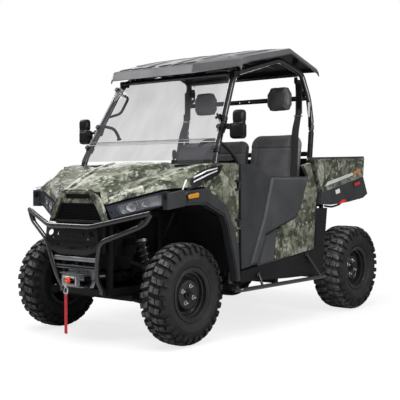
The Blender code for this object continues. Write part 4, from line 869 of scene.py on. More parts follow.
def side_steps():
    """Step tubes along the sills, with their struts, pads, bolts and end caps."""
    shape = Shape()
    main = [(0.64, -0.465, 0.312), (0.652, -0.525, 0.302), (0.7, -0.49, 0.305), (0.7, 0.53, 0.303)]
    shape.sweep(main, 0.014, 18, reach=0.03, steps=6)
    shape.rod((0.664, -0.2595, 0.382), (0.7, -0.2595, 0.308), 0.009)
    shape.rod((0.664, 0.3325, 0.48), (0.7, 0.47, 0.308), 0.01)
    shape.box((0.6125, -0.486, 0.301), (0.648, -0.456, 0.327), 0.002)
    pads = ((-0.2595, 0.38), (0.3325, 0.475))
    for y, z in pads:
        shape.box((0.6555, y - 0.017, z - 0.014), (0.6665, y + 0.017, z + 0.014), 0.002)
    shape.paint(1)
    for y, z in pads:
        shape.hexagon((0.666, y + 0.009, z + 0.005), (1, 0, 0), 0.005, 0.004)
    shape.rod((0.7, 0.53, 0.303), (0.7, 0.5335, 0.303), 0.012)
    shape.pair("step_tube", [COAT, SATIN], "chassis", "black_steel", "side_step_{}", edge=0.0008, steps=1)


# Nose, lamps and hood

def nose_and_grille():
    """Camouflaged grille surround, mesh of crossing bars, lower lip and the cowl behind."""
    front = Shape()
    outline = [(-0.262, 0.745), (-0.2, 0.885), (-0.15, 0.928), (0.15, 0.928), (0.2, 0.885), (0.262, 0.745),
               (0.23, 0.745), (0.152, 0.8657), (-0.152, 0.8657), (-0.23, 0.745)]
    holed_plate(front, [outline, [(-0.118, 0.8935), (0.118, 0.8935), (0.112, 0.9215), (-0.112, 0.9215)]],
                -1.262, -1.24)
    front.box((-0.146, -1.261, 0.924), (0.146, -1.2572, 0.9385), 0.0015)
    front.done("nose_surround", CAMO, "chassis", "camo", "nose", edge=0.0025, steps=2, sharp=30.0)
    duct = Shape()
    duct.box((-0.125, -1.244, 0.888), (0.125, -1.2405, 0.926))
    duct.box((-0.116, -1.258, 0.8937), (0.116, -1.244, 0.8952))
    duct.done("nose_duct", SATIN, "chassis", "black_plastic")
    shape = Shape()
    shape.prism([(-0.227, 0.741), (0.227, 0.741), (0.15, 0.865), (-0.15, 0.865)], -1.24, -1.2365, "Y")
    shape.prism([(-0.2, 0.56), (0.2, 0.56), (0.2, 0.77), (0.145, 0.86), (-0.145, 0.86), (-0.2, 0.77)],
                -1.238, -1.2155, "Y")
    shape.box((-0.19, -1.219, 0.7755), (0.19, -1.1998, 0.7945))
    shape.paint(1)
    low, half_low, rise, bar = 0.741, 0.227, 1.59, 0.0013
    for k in range(-22, 23):
        x = k * 0.0098
        top = min(0.864, low + (half_low - abs(x)) * rise)
        if top > 0.765:
            shape.box((x - bar, -1.246, 0.756), (x + bar, -1.2395, top - 0.001))
    for k in range(11):
        z = 0.762 + 0.0095 * k
        half = half_low - 0.001 - (z - low) * 0.629
        shape.box((-half, -1.2478, z - bar), (half, -1.2435, z + bar))
    shape.paint(2)
    shape.box((-0.212, -1.256, 0.7425), (0.212, -1.239, 0.76), 0.004)
    for z in (0.747, 0.7545):
        shape.box((-0.2, -1.257, z), (0.2, -1.255, z + 0.003), 0.0006, 1)
    shape.paint(0)
    for s in (1, -1):
        shape.prism([(s * 0.224, 0.744), (s * 0.212, 0.744), (s * 0.14, 0.86), (s * 0.15, 0.863)],
                    -1.252, -1.239, "Y")
    shape.box((-0.15, -1.252, 0.856), (0.15, -1.239, 0.8655), 0.003)
    shape.done("grille_mesh", [BLACK, SATIN, DARK], "chassis", "black_plastic", "grille",
               edge=0.0005, steps=1)


def between(corners, u, v, deep=0.0, back=Vector((-0.02, 0.055, 0.0))):
    """Point on the lamp's face: u along, v up, deep towards the back as a share of its depth."""
    a, b, c, d = (Vector(p) for p in corners)
    return (a * (1 - u) + b * u) * (1 - v) + (d * (1 - u) + c * u) * v + back * deep


def headlamps():
    """Wrap-round lamps: blue-grey housing, pale bowls as a painted reflection with dark rims, a clear cover
    and an apron.
    """
    face = [(0.266, -1.232, 0.775), (0.56, -1.09, 0.855), (0.56, -1.09, 0.94), (0.218, -1.234, 0.848)]
    shape = Shape()

    def panels(*blocks):
        """Blocks of the face: left, right, bottom, top, front and rear as shares, and a lean."""
        for u0, u1, v0, v1, front, rear, skew in blocks:
            shape.rings([[between(face, u0, v0, d), between(face, u1, v0, d), between(face, u1 + skew, v1, d),
                          between(face, u0 + skew, v1, d)] for d in (front, rear)])

    panels((0.0, 1.0, 0.0, 1.0, 0.62, 1.0, 0), (0.0, 1.0, 0.0, 0.1, 0.02, 0.7, 0),
           (0.0, 1.0, 0.86, 1.0, 0.1, 0.7, 0), (0.0, 0.13, 0.08, 0.92, 0.1, 0.7, 0),
           (0.96, 1.0, 0.08, 0.92, 0.06, 0.7, 0), (0.13, 0.21, 0.08, 0.92, 0.22, 0.7, -0.06))
    shape.box((0.2155, -1.205, 0.7785), (0.275, -1.172, 0.7975))
    shape.paint(2)
    apron = [(0.258, -1.226, 0.784), (0.5, -1.119, 0.848), (0.46, -1.11, 0.8), (0.245, -1.212, 0.73)]
    shape.rings([apron, [(x - 0.01, y + 0.018, z) for x, y, z in apron]])
    # Finish 3, pale plastic, is a painted reflection: the back panel here and the bowls below
    shape.paint(3)
    panels((0.15, 0.96, 0.08, 0.88, 0.58, 0.62, 0))
    for u, size in ((0.4, 0.027), (0.66, 0.021)):
        centre = between(face, u, 0.47, 0.56)
        out = between(face, u, 0.47, 0.0) - between(face, u, 0.47, 1.0)
        turn = out.to_track_quat("Z", "Y")
        for finish, bowl in ((3, [(0.3, -0.004), (0.62, 0.002), (0.9, 0.014)]),
                             (2, [(0.9, 0.014), (1.0, 0.019)])):
            shape.paint(finish)
            shape.rings([[centre + turn @ Vector((wide * 1.45 * math.cos(a), wide * math.sin(a), lift))
                          for a in angles(28)] for wide, lift in [(size * share, h) for share, h in bowl]],
                        caps=False)
        shape.paint(1)
        shape.rod(centre, centre + out.normalized() * 0.014, size * 0.34, size * 0.22, 16)
    shape.paint(1)
    panels((0.24, 0.9, 0.78, 0.84, 0.2, 0.5, -0.02), (0.26, 0.88, 0.12, 0.18, 0.2, 0.5, -0.02),
           (0.535, 0.555, 0.16, 0.8, 0.18, 0.5, -0.03))
    shape.paint(2)
    panels((0.045, 0.065, 0.4, 0.56, 0.06, 0.12, -0.01))
    shape.pair("lamp_body", [HOUSING, SILVER, SATIN, LAMP_PAINTED_REFLECTION], "chassis", "lamp", "headlight_{}",
               edge=0.0009, steps=1, sharp=30.0)
    cover = Shape()
    rows = [[between(face, u, v, 0.06 - 0.1 * math.sin(math.pi * u) * math.sin(math.pi * v))
             for u in [0.125 + 0.06 * (1 - v) + (0.825 - 0.04 * v) * k / 8 for k in range(9)]]
            for v in [0.08 + 0.8 * j / 4 for j in range(5)]]
    cover.sheet(rows)
    cover.pair("lamp_cover", LENS, "chassis", "lamp", wall=0.0016)


# Each row of the hood: its y, half width, middle height and edge height
HOOD_ROWS = [(-1.25, 0.15, 0.943, 0.936), (-1.2, 0.17, 0.968, 0.95), (-1.1, 0.2, 1.018, 0.992),
             (-0.95, 0.25, 1.07, 1.045), (-0.8, 0.3, 1.106, 1.088), (-0.72, 0.326, 1.12, 1.104)]


def hood_at(y):
    """Half width, middle height and edge height of the hood."""
    for a, b in zip(HOOD_ROWS, HOOD_ROWS[1:]):
        if y <= b[0]:
            t = max(0.0, (y - a[0]) / (b[0] - a[0]))
            return [p + (q - p) * t for p, q in zip(a[1:], b[1:])]
    return list(HOOD_ROWS[-1][1:])


def skirt_at(y):
    """How far the hood's edge turns down."""
    return 0.003 + 0.025 * min(1.0, (y + 1.25) / 0.1)


def hood():
    """Hood with a raised centre, two flutes, side creases and slots, hinged at its rear."""
    rows = []
    for k in range(25):
        y = -1.25 + 0.53 * k / 24
        half, middle, edge = hood_at(y)
        bulge = math.sin(math.pi * min(1.0, (y + 1.25) / 0.53)) * 0.004
        right = [(half * 0.18, middle + 0.004 + bulge), (half * 0.36, middle + 0.002 + bulge),
                 (half * 0.44, middle - 0.001), (half * 0.58, middle - 0.006), (half * 0.66, middle + 0.003),
                 (half * 0.84, (middle + edge) / 2 + 0.004), (half, edge), (half + 0.002, edge - skirt_at(y))]
        line = [(-x, z) for x, z in reversed(right)] + [(0.0, middle + 0.0045 + bulge)] + right
        rows.append([(x, y, z) for x, z in line])
    rows.insert(0, [(x * 0.995, y, 0.9345) for x, y, z in rows[0]])
    skin = Shape().sheet(rows)
    skin.done("hood_skin", CAMO, "hood", "camo", "hood", wall=0.005, offset=1.0, edge=0.0018, steps=2)
    shape = Shape()
    shape.boxes((0.17, -0.728, 1.092), (0.21, -0.7205, 1.115), 0.001)
    shape.rods((0.17, -0.72, 1.096), (0.21, -0.72, 1.096), 0.0068)
    shape.paint(1)
    corners = ((-1.055, 0.152), (-0.96, 0.176), (-0.96, 0.196), (-1.045, 0.17))
    for s in (1, -1):
        slot = [hood_point(y, s * x, 0.0012) for y, x in corners]
        drop = [p - Vector((0, 0, 0.0045)) for p in slot]
        shape.rings([drop, slot])
    shape.done("hood_trim", [COAT, SATIN], "hood", "camo")


def hood_point(y, x, lift):
    """Point just above the hood's skin."""
    half, middle, edge = hood_at(y)
    share = abs(x) / half
    line = [(0.0, middle + 0.0085), (0.36, middle + 0.006), (0.44, middle - 0.001), (0.58, middle - 0.006),
            (0.66, middle + 0.003), (0.84, (middle + edge) / 2 + 0.004), (1.0, edge)]
    for (s0, z0), (s1, z1) in zip(line, line[1:]):
        if share <= s1:
            return Vector((x, y, z0 + (z1 - z0) * (share - s0) / (s1 - s0) + lift))
    return Vector((x, y, edge + lift))


# Each row of the fender: its y at the hood, its first line, crest, outer face and lower edge
FENDER_ROWS = [
    (-1.225, (0.178, -1.228, 0.888), (0.186, -1.232, 0.874), (0.194, -1.236, 0.862), (0.202, -1.237, 0.853)),
    (-1.12, (0.26, -1.14, 0.95), (0.33, -1.15, 0.942), (0.345, -1.165, 0.915), (0.352, -1.172, 0.896)),
    (-1.01, (0.33, -1.03, 1.0), (0.47, -1.06, 1.0), (0.52, -1.08, 0.972), (0.545, -1.088, 0.95)),
    (-0.9, (0.4, -0.9, 1.045), (0.565, -0.91, 1.062), (0.625, -0.93, 1.02), (0.645, -0.95, 0.963)),
    (-0.79, (0.45, -0.78, 1.08), (0.605, -0.77, 1.105), (0.648, -0.77, 1.06), (0.656, -0.78, 0.966)),
    (-0.72, (0.47, -0.7, 1.095), (0.61, -0.69, 1.113), (0.652, -0.69, 1.075), (0.656, -0.69, 0.966)),
]


def fenders():
    """Fender: stepped top facets from the hood gap to the crest, and the side panel to the door."""
    rows = []
    for y, first, crest, face, low in FENDER_ROWS:
        half, _, edge = hood_at(y)
        inner = Vector((half + 0.006, y, edge - skirt_at(y) - 0.006))
        first, crest = Vector(first), Vector(crest)
        step = first * 0.62 + crest * 0.38
        rows.append([inner, inner + Vector((0.002, 0, 0.014)),
                     first * 0.85 + inner * 0.15 + Vector((0, 0, 0.004)),
                     step + Vector((0, 0, 0.006)), step + (crest - first) * 0.1 - Vector((0, 0, 0.006)),
                     crest, Vector(face), Vector(low)])
    shape = Shape().sheet(rows)
    shape.pair("fender_top", CAMO, "chassis", "camo", wall=0.006, offset=0.0, edge=0.0022, steps=2)
    side = Shape()
    outline = [(-0.78, 1.1), (-0.7, 1.114), (-0.506, 1.116), (-0.485, 0.59), (-0.541, 0.714),
               (-0.606, 0.846), (-0.812, 0.957)]
    side.prism(outline, 0.638, 0.66)
    side.paint(1)
    for z in (0.995, 0.941, 0.745, 0.691):
        side.box((0.648, -0.515, z), (0.673, -0.469, z + 0.014), 0.001)
    side.paint(0)
    side.prism([(-0.532, 1.108), (-0.46, 1.108), (-0.46, 0.604), (-0.489, 0.604)], 0.6405, 0.649)
    side.pair("fender_side", [CAMO, SATIN], "chassis", "camo", "fender_{}", edge=0.003, steps=3)


def fender_marks():
    """Black patch with two plain pale lines and a slash, laid on the fender's flank."""
    host = bpy.data.objects["fender_top_left"]
    bpy.context.view_layer.update()
    skin = host.evaluated_get(bpy.context.evaluated_depsgraph_get())
    eye = Vector(CAMERA_AT)
    panel_start = -0.822
    near = 0.12

    def on_skin(y, z, lift):
        """The flank's point as the camera sees it, on the fender's top where that covers it."""
        flank = Vector((0.66, y, z))
        found, at, _, _ = skin.ray_cast(eye, (flank - eye).normalized())
        if found and (at - eye).length < (flank - eye).length + near and y < panel_start:
            flank = at
        return flank + (eye - flank).normalized() * lift

    marks = Shape()

    def lay(lower, upper, lift, steps=16, rows=6):
        """A skin between a lower and an upper line, drawn on the flank."""
        def along(line, t):
            t *= len(line) - 1
            k = min(int(t), len(line) - 2)
            a, b = Vector((*line[k], 0.0)), Vector((*line[k + 1], 0.0))
            return a + (b - a) * (t - k)

        grid = []
        for j in range(rows + 1):
            line = []
            for i in range(steps + 1):
                a, b = along(lower, i / steps), along(upper, i / steps)
                p = a + (b - a) * (j / rows)
                line.append(on_skin(p.x, p.y, lift))
            grid.append(line)
        marks.sheet(grid)

    lay([(-0.996, 0.944), (-0.88, 0.968), (-0.78, 1.004), (-0.672, 1.048)],
        [(-0.95, 1.028), (-0.86, 1.064), (-0.76, 1.09), (-0.64, 1.102)], 0.002)
    marks.paint(1)
    lay([(-1.04, 0.95), (-1.026, 0.952)], [(-1.004, 1.008), (-0.99, 1.012)], 0.002, 2)
    for low in (0.0, 0.026):
        lay([(-0.93, 0.992 + low), (-0.8, 1.034 + low), (-0.7, 1.062 + low * 0.6)],
            [(-0.927, 1.002 + low), (-0.797, 1.044 + low), (-0.694, 1.07 + low * 0.6)], 0.003, 12, 2)
    marks.pair("fender_marks", [SATIN, WHITE], "chassis", "camo", sharp=60.0)


def arches():
    """Faceted dark flare round the wheel opening, wrapped to the lamp, with its marker and liner."""
    seam = [(-0.8126, 0.9564), (-0.6066, 0.8454), (-0.5416, 0.7134), (-0.4856, 0.5894)]
    outline = [(-1.012, 0.856), (-1.02, 0.921), (-0.964, 0.944)] + seam
    outline += [(-0.466, 0.357), (-0.506, 0.357), (-0.5165, 0.433), (-0.6045, 0.715), (-0.6435, 0.784),
                (-0.8255, 0.86)]
    shape = Shape().prism(outline, 0.616, 0.668)
    ridge = [(-1.006, 0.874), (-0.97, 0.915), (-0.822, 0.925), (-0.628, 0.826), (-0.568, 0.706),
             (-0.498, 0.5), (-0.48, 0.366), (-0.5, 0.366), (-0.512, 0.44), (-0.596, 0.716), (-0.64, 0.796),
             (-0.824, 0.874)]
    shape.prism(ridge, 0.66, 0.674)
    plan = [(0.6685, -1.016), (0.606, -1.106), (0.56, -1.092), (0.5525, -1.06), (0.616, -1.0)]
    shape.rings([[(x, y, low if y > -1.05 else low - 0.022) for x, y in plan] for low in (0.853, 0.948)])
    tip = ((0.606, -1.106), (0.56, -1.092), (0.5525, -1.06), (0.592, -1.06))
    shape.rings([[(x, y, z) for x, y in tip] for z in (0.89, 0.9395)])
    shape.paint(1)
    liner = ((0.36, -1.075, 0.842), (0.3, -0.825, 0.85), (0.3, -0.65, 0.775), (0.3, -0.56, 0.6),
             (0.3, -0.52, 0.42))
    shape.sheet([[(x, y, z), (0.622, y, z)] for x, y, z in liner])
    shape.box((0.57, -1.1075, 0.898), (0.585, -1.09, 0.938), 0.002)
    shape.pair("arch_flare", [DARK, BLACK], "chassis", "dark_plastic", "front_arch_{}", edge=0.0045, steps=3)
    lamp = Shape()
    lamp.prism([(-1.004, 0.89), (-0.902, 0.9), (-0.894, 0.93), (-0.912, 0.938), (-0.994, 0.926),
                (-1.008, 0.914)], 0.666, 0.6755)
    lamp.paint(1)
    lamp.prism([(-0.997, 0.895), (-0.908, 0.904), (-0.901, 0.928), (-0.914, 0.933), (-0.99, 0.921),
                (-1.001, 0.911)], 0.6745, 0.6825)
    lamp.pair("side_marker", [SATIN, AMBER], "chassis", "dark_plastic", edge=0.002, steps=2)


# Doors and side panels

def doors():
    """Flat dark front part, raised paler rear panel with a folded lower facet, hinges and latch."""
    shape = Shape()
    outline = [(-0.452, 1.112), (-0.3125, 1.11), (-0.2, 1.068), (-0.135, 1.032), (0.36, 1.032),
               (0.334, 0.977), (0.266, 0.828), (0.196, 0.746), (-0.184, 0.64), (-0.276, 0.452),
               (-0.444, 0.432)]
    shape.prism(outline, 0.626, 0.66)
    shape.paint(1)
    rim_line = [(-0.112, 1.024), (0.348, 1.024), (0.322, 0.972), (0.256, 0.833), (0.188, 0.754),
                (-0.18, 0.652), (-0.272, 0.462), (-0.352, 0.452), (-0.2, 0.76)]
    crest = [(-0.098, 1.012), (0.33, 1.012), (0.306, 0.968), (0.24, 0.848), (0.172, 0.8), (-0.172, 0.712),
             (-0.286, 0.474), (-0.336, 0.468), (-0.184, 0.762)]
    shape.rings([[(x, y, z) for y, z in line] for x, line in ((0.655, rim_line), (0.6655, rim_line),
                                                              (0.6755, crest))])
    shape.paint(2)
    for z in (0.955, 0.705):
        shape.rod((0.664, -0.478, z), (0.664, -0.478, z + 0.04), 0.0078, sides=20)
        shape.box((0.655, -0.478, z + 0.002), (0.6655, -0.44, z + 0.038), 0.002)
    shape.paint(3)
    shape.box((0.612, 0.27, 0.905), (0.628, 0.335, 0.95), 0.004)
    shape.pair("door_shell", [DARK, PANEL, COAT, SATIN], "door_{}", "dark_plastic", "door_{}",
               edge=0.0034, steps=3)


def quarters():
    """Rear side panel: dark inset ahead, camouflaged behind, with a fold along its rear edge."""
    shape = Shape()
    shape.prism([(0.3, 1.11), (0.398, 1.134), (0.494, 0.917), (0.4685, 0.81), (0.4425, 0.5073),
                 (-0.063, 0.4555), (-0.033, 0.6715), (0.203, 0.739), (0.274, 0.823), (0.342, 0.974),
                 (0.37, 1.037)],
                0.63, 0.66)
    shape.paint(1)
    shape.prism([(-0.066, 0.4552), (-0.24, 0.4373), (-0.262, 0.44), (-0.175, 0.632), (-0.036, 0.6706)],
                0.63, 0.657)
    shape.prism([(-0.084, 0.464), (-0.232, 0.448), (-0.248, 0.45), (-0.167, 0.622), (-0.052, 0.655)],
                0.655, 0.6635)
    shape.pair("quarter_panel", [CAMO, PANEL], "chassis", "camo", "quarter_{}", edge=0.004, steps=3)


def tub():
    """Floor moulding with its ribbed sills, pedals and rear guards."""
    dress("floor_tub", BLACK, 0.004, 3)
    shape = Shape()
    for k in range(3):
        drop = 0.022 * k
        shape.prism([(-0.44, 0.402 - drop), (0.435, 0.492 - drop * 1.6), (0.44, 0.482 - drop * 1.6),
                     (-0.44, 0.392 - drop)], 0.654, 0.6595)
    shape.prism([(0.47, 0.53), (0.595, 0.53), (0.62, 0.7), (0.482, 0.7)], 0.654, 0.659)
    shape.pair("sill_ribs", BLACK, "chassis", "black_plastic", edge=0.002, steps=2)
    mats = Shape()
    for k in range(11):
        y = -0.4 + 0.036 * k
        mats.boxes((0.22, y, 0.3483), (0.5, y + 0.016, 0.3515), 0.001, 1)
    for x, wide in ((0.22, 0.045), (0.36, 0.03)):
        for k in range(4):
            z = 0.438 + 0.015 * k
            mats.box((x - wide + 0.004, -0.4215, z), (x + wide - 0.004, -0.419, z + 0.007), 0.0008, 1)
    mats.done("floor_grips", SOFT_RUBBER, "chassis", "black_plastic")


# Cab

def dash():
    """Dash moulding with its ribbed top, instrument pod, gauge, switches, glovebox and vents."""
    moulding = dress("dashboard", DARK, 0.004, 3)
    # The pod's inner wall moves outboard, to leave room for the range lever
    for vert in moulding.data.vertices:
        if vert.co.z > 1.09 and 0.15 < vert.co.x < 0.165 and vert.co.y > -0.62:
            vert.co.x += 0.035 + 0.45 * max(0.0, -0.48 - vert.co.y)
    shape = Shape()
    shape.prism([(-0.52, 1.212), (-0.4705, 1.2125), (-0.464, 1.15), (-0.485, 1.15)], 0.262, 0.435)
    shape.paint(1)
    shape.box((0.272, -0.47, 1.118), (0.425, -0.456, 1.208), 0.01, 3)
    shape.paint(2)
    shape.box((0.284, -0.458, 1.13), (0.412, -0.4545, 1.196), 0.004, 2)
    shape.paint(1)
    for x in (0.435, 0.245):
        for k in range(3):
            z = 1.11 + 0.03 * k
            shape.box((x - 0.012, -0.461, z), (x + 0.012, -0.451, z + 0.022), 0.003)
    shape.box((-0.47, -0.462, 0.88), (-0.08, -0.448, 1.03), 0.012, 3)
    shape.box((-0.31, -0.45, 0.992), (-0.24, -0.442, 1.012), 0.004)
    for x in (-0.52, 0.05, 0.52):
        for k in range(5):
            z = 0.945 + 0.013 * k
            shape.box((x - 0.032, -0.458, z), (x + 0.032, -0.448, z + 0.006), 0.001)
    shape.paint(0)
    for k in range(9):
        x = -0.44 + 0.05 * k
        shape.box((x, -0.655, 1.1085), (x + 0.03, -0.56, 1.115), 0.002)
    shape.done("dash_details", [DARK, SATIN, HOUSING], "chassis", "dark_plastic", edge=0.0008, steps=1)


def lever_and_boot():
    """Range lever with its egg-shaped knob and ribbed boot."""
    shape = Shape()
    shape.rod((0.125, -0.52, 1.08), (0.125, -0.488, 1.16), 0.0065, 0.0055)
    rings = []
    for r, h in ((0.004, 0.0), (0.01, 0.002), (0.0155, 0.016), (0.018, 0.036), (0.015, 0.052), (0.007, 0.06)):
        centre = Vector((0.125, -0.49, 1.148)) + Vector((0, 0.1, 0.995)) * h
        rings.append([centre + Vector((r * math.cos(a), r * 0.8 * math.sin(a), 0)) for a in angles(20)])
    shape.rings(rings)
    shape.paint(1)
    for k in range(4):
        y, z, shrink = -0.521 + 0.004 * k, 1.083 + 0.011 * k, 0.0055 * k
        shape.rod((0.125, y, z), (0.125, y + 0.004, z + 0.009), 0.03 - shrink, 0.024 - shrink)
    shape.done("shift_lever", [SATIN, SOFT_RUBBER], "chassis", "dark_plastic", sharp=50.0)


def steering():
    """Three-spoke wheel with a padded rim, centre pad and finger ridges; column shroud and stalk."""
    centre = Vector((0.31, -0.25, 1.13))
    tilt = math.radians(28.0) - math.pi / 2
    turn = Matrix.Rotation(tilt, 4, "X") @ Matrix.Rotation(math.pi, 4, "Z")
    shape = Shape()
    ring = [(0.165 * math.cos(a), 0.165 * math.sin(a), 0.0) for a in angles(96)]
    sizes = [0.0138 + 0.0008 * math.sin(16 * a) for a in angles(96)]
    shape.sweep(ring, sizes, 14, loop=True)
    shape.paint(1)
    for angle in (0.0, math.pi, -math.pi / 2):
        c, s = math.cos(angle), math.sin(angle)
        spoke = ((0.02, 0.022, -0.012), (0.07, 0.015, -0.014), (0.12, 0.014, -0.01), (0.158, 0.018, -0.002))
        shape.rings([[(c * r - s * w, s * r + c * w, lift + h)
                      for w, h in ((-wide, -0.004), (wide, -0.004), (wide, 0.004), (-wide, 0.004))]
                     for r, wide, lift in spoke])
    shape.rod((0, 0, -0.045), (0, 0, -0.006), 0.03, 0.036, 32)
    shape.rod((0, 0, -0.008), (0, 0, 0.003), 0.04, 0.034, 32)
    shape.bm.transform(Matrix.Translation(centre) @ turn)
    shape.done("steering_rim", [SOFT_RUBBER, SATIN], "steering_wheel", "black_plastic", "steering_wheel",
               edge=0.0012, steps=2, sharp=50.0)
    dress("steering_column", SATIN, 0.0012, 2)


def screen():
    """Two-part clear screen, its pale edges as a painted glint, clamps, one cross knob, a hooked bar and the
    grab handle.
    """
    along = (pillar_at(1.69) - pillar_at(1.125)).normalized()
    out = Vector((0, -along.z, along.y))
    gap = CAGE_R + 0.0028
    half_wall = 0.0018
    overlap = 0.0058

    def at(z, share, lift=0.0):
        """Point on the screen at a height, its place across as a share of the half width."""
        p = pillar_at(z) + out * (gap + lift)
        return Vector((p.x * share, p.y, p.z))

    shape = Shape()
    for z0, z1, lift, trim in ((1.125, 1.262, 0.0, 0.0), (1.238, 1.69, overlap, 0.03)):
        clip = 1 - trim * 2.2
        outline = [(-1, z0), (1, z0), (1, z1 - trim), (clip, z1), (-clip, z1), (-1, z1 - trim)]
        shape.rings([[at(z, x, lift + wall) for x, z in outline] for wall in (-half_wall, half_wall)])
    shape.done("screen_sheets", CLEAR, "chassis", "clear", "windshield", edge=0.0006, steps=1)
    # Pale rods along the sheets' edges and overlap: a painted glint
    rims = Shape()
    for z, lift in ((1.262, 0.0), (1.238, overlap)):
        rims.sweep([at(z, -0.999, lift), at(z, 0.999, lift)], 0.0024, 8)
    half = ((0.999, 1.24), (0.999, 1.655), (0.932, 1.69))
    edge = [(-x, z) for x, z in half] + [(x, z) for x, z in reversed(half)]
    rims.sweep([at(z, x, overlap) for x, z in edge], 0.0016, 8)
    rims.done("screen_edges", SCREEN_EDGE, "chassis", "clear")
    clamps = Shape()
    knob_at = 1.395
    for s, places in ((1, (knob_at, 1.335, 1.195)), (-1, (1.655, 1.375, 1.225))):
        pillar = Vector(flip(along, s)) * 0.02
        for z in places:
            centre = Vector(flip(pillar_at(z), s))
            clamps.rod(centre - pillar, centre + pillar, CAGE_R + 0.0055)
            front = centre + out * (CAGE_R + 0.012)
            clamps.rod(centre + out * CAGE_R * 0.8, front, 0.013)
            clamps.rod(front, front + out * 0.007, 0.017)
            if z == knob_at:
                front += Vector((-0.012, 0, 0)) + out * 0.012
                for angle in (0.6, 0.6 + math.pi / 2):
                    arm = (Vector((math.cos(angle), 0, 0)) + along * math.sin(angle)) * 0.024
                    clamps.sweep([front - arm, front, front + arm], [0.0075, 0.0095, 0.0075], 10)
    foot = pillar_at(knob_at)
    start = Vector((0.02 - foot.x, foot.y + 0.012, foot.z))
    bend = start + Vector((0.062, 0.03, -0.016))
    clamps.sweep([start, bend, bend + Vector((0.03, 0.012, -0.052)), bend + Vector((0.036, 0.014, -0.08))],
                 0.0115, 10, reach=0.03)
    clamps.rod(bend + Vector((0.022, 0.014, -0.08)), bend + Vector((0.052, 0.014, -0.076)), 0.0085)
    clamps.paint(1)
    handle = ((1.64, 0.006, 0.004), (1.612, 0.075, 0.05), (1.49, 0.075, 0.05), (1.462, 0.006, 0.004))
    route = [Vector(flip(pillar_at(z), -1)) + Vector((inward, back, 0)) for z, inward, back in handle]
    clamps.sweep(route, 0.0095, 12, reach=0.03)
    clamps.done("screen_clamps", [SATIN, SOFT_RUBBER], "chassis", "black_steel", edge=0.0008, steps=1)


def mirrors():
    """Mirrors: a wide lower shell and a narrower upper one with a pale seam, glass and a jointed arm."""
    at = pillar_at(1.36)
    shape = Shape()
    shells = (((0.6395, 1.269), (0.7515, 1.37), 0.024), ((0.664, 1.366), (0.748, 1.453), 0.026))
    layers = ((-0.5625, 0.5), (-0.559, 0.76), (-0.55, 0.94), (-0.535, 1.0), (-0.517, 1.0), (-0.5155, 0.98))
    for low, high, corner in shells:
        middle = [(a + b) / 2 for a, b in zip(low, high)]
        rings = []
        for y, share in layers:
            a = [m + (p - m) * share for m, p in zip(middle, low)]
            b = [m + (p - m) * share for m, p in zip(middle, high)]
            rings.append([(x, y, z) for x, z in soft_rect(a, b, corner * share, 5)])
        shape.rings(rings)
    shape.paint(1)
    for low, high in (((0.648, 1.277), (0.743, 1.361)), ((0.672, 1.373), (0.74, 1.445))):
        shape.prism(soft_rect(low, high, 0.018, 5), -0.5158, -0.5148, "Y")
    shape.paint(2)
    shape.box((0.65, -0.5575, 1.3655), (0.744, -0.54, 1.369), 0.001, 1)
    shape.paint(0)
    shape.box((0.668, -0.552, 1.345), (0.746, -0.5165, 1.39), 0.004, 2)
    shape.rod((at.x + CAGE_R + 0.01, at.y, 1.352), (0.668, -0.54, 1.345), 0.0095)
    shape.rod((0.64, -0.552, 1.33), (0.64, -0.552, 1.365), 0.014)
    foot = at.x + CAGE_R
    shape.box((foot + 0.002, at.y - 0.012, 1.336), (foot + 0.026, at.y + 0.012, 1.37), 0.003)
    shape.rod((at.x, at.y - 0.004, 1.335), (at.x, at.y + 0.012, 1.371), CAGE_R + 0.005)
    shape.pair("mirror_head", [SATIN, MIRROR, WHITE], "chassis", "black_plastic", "mirror_{}",
               edge=0.0008, steps=1, sharp=40.0)


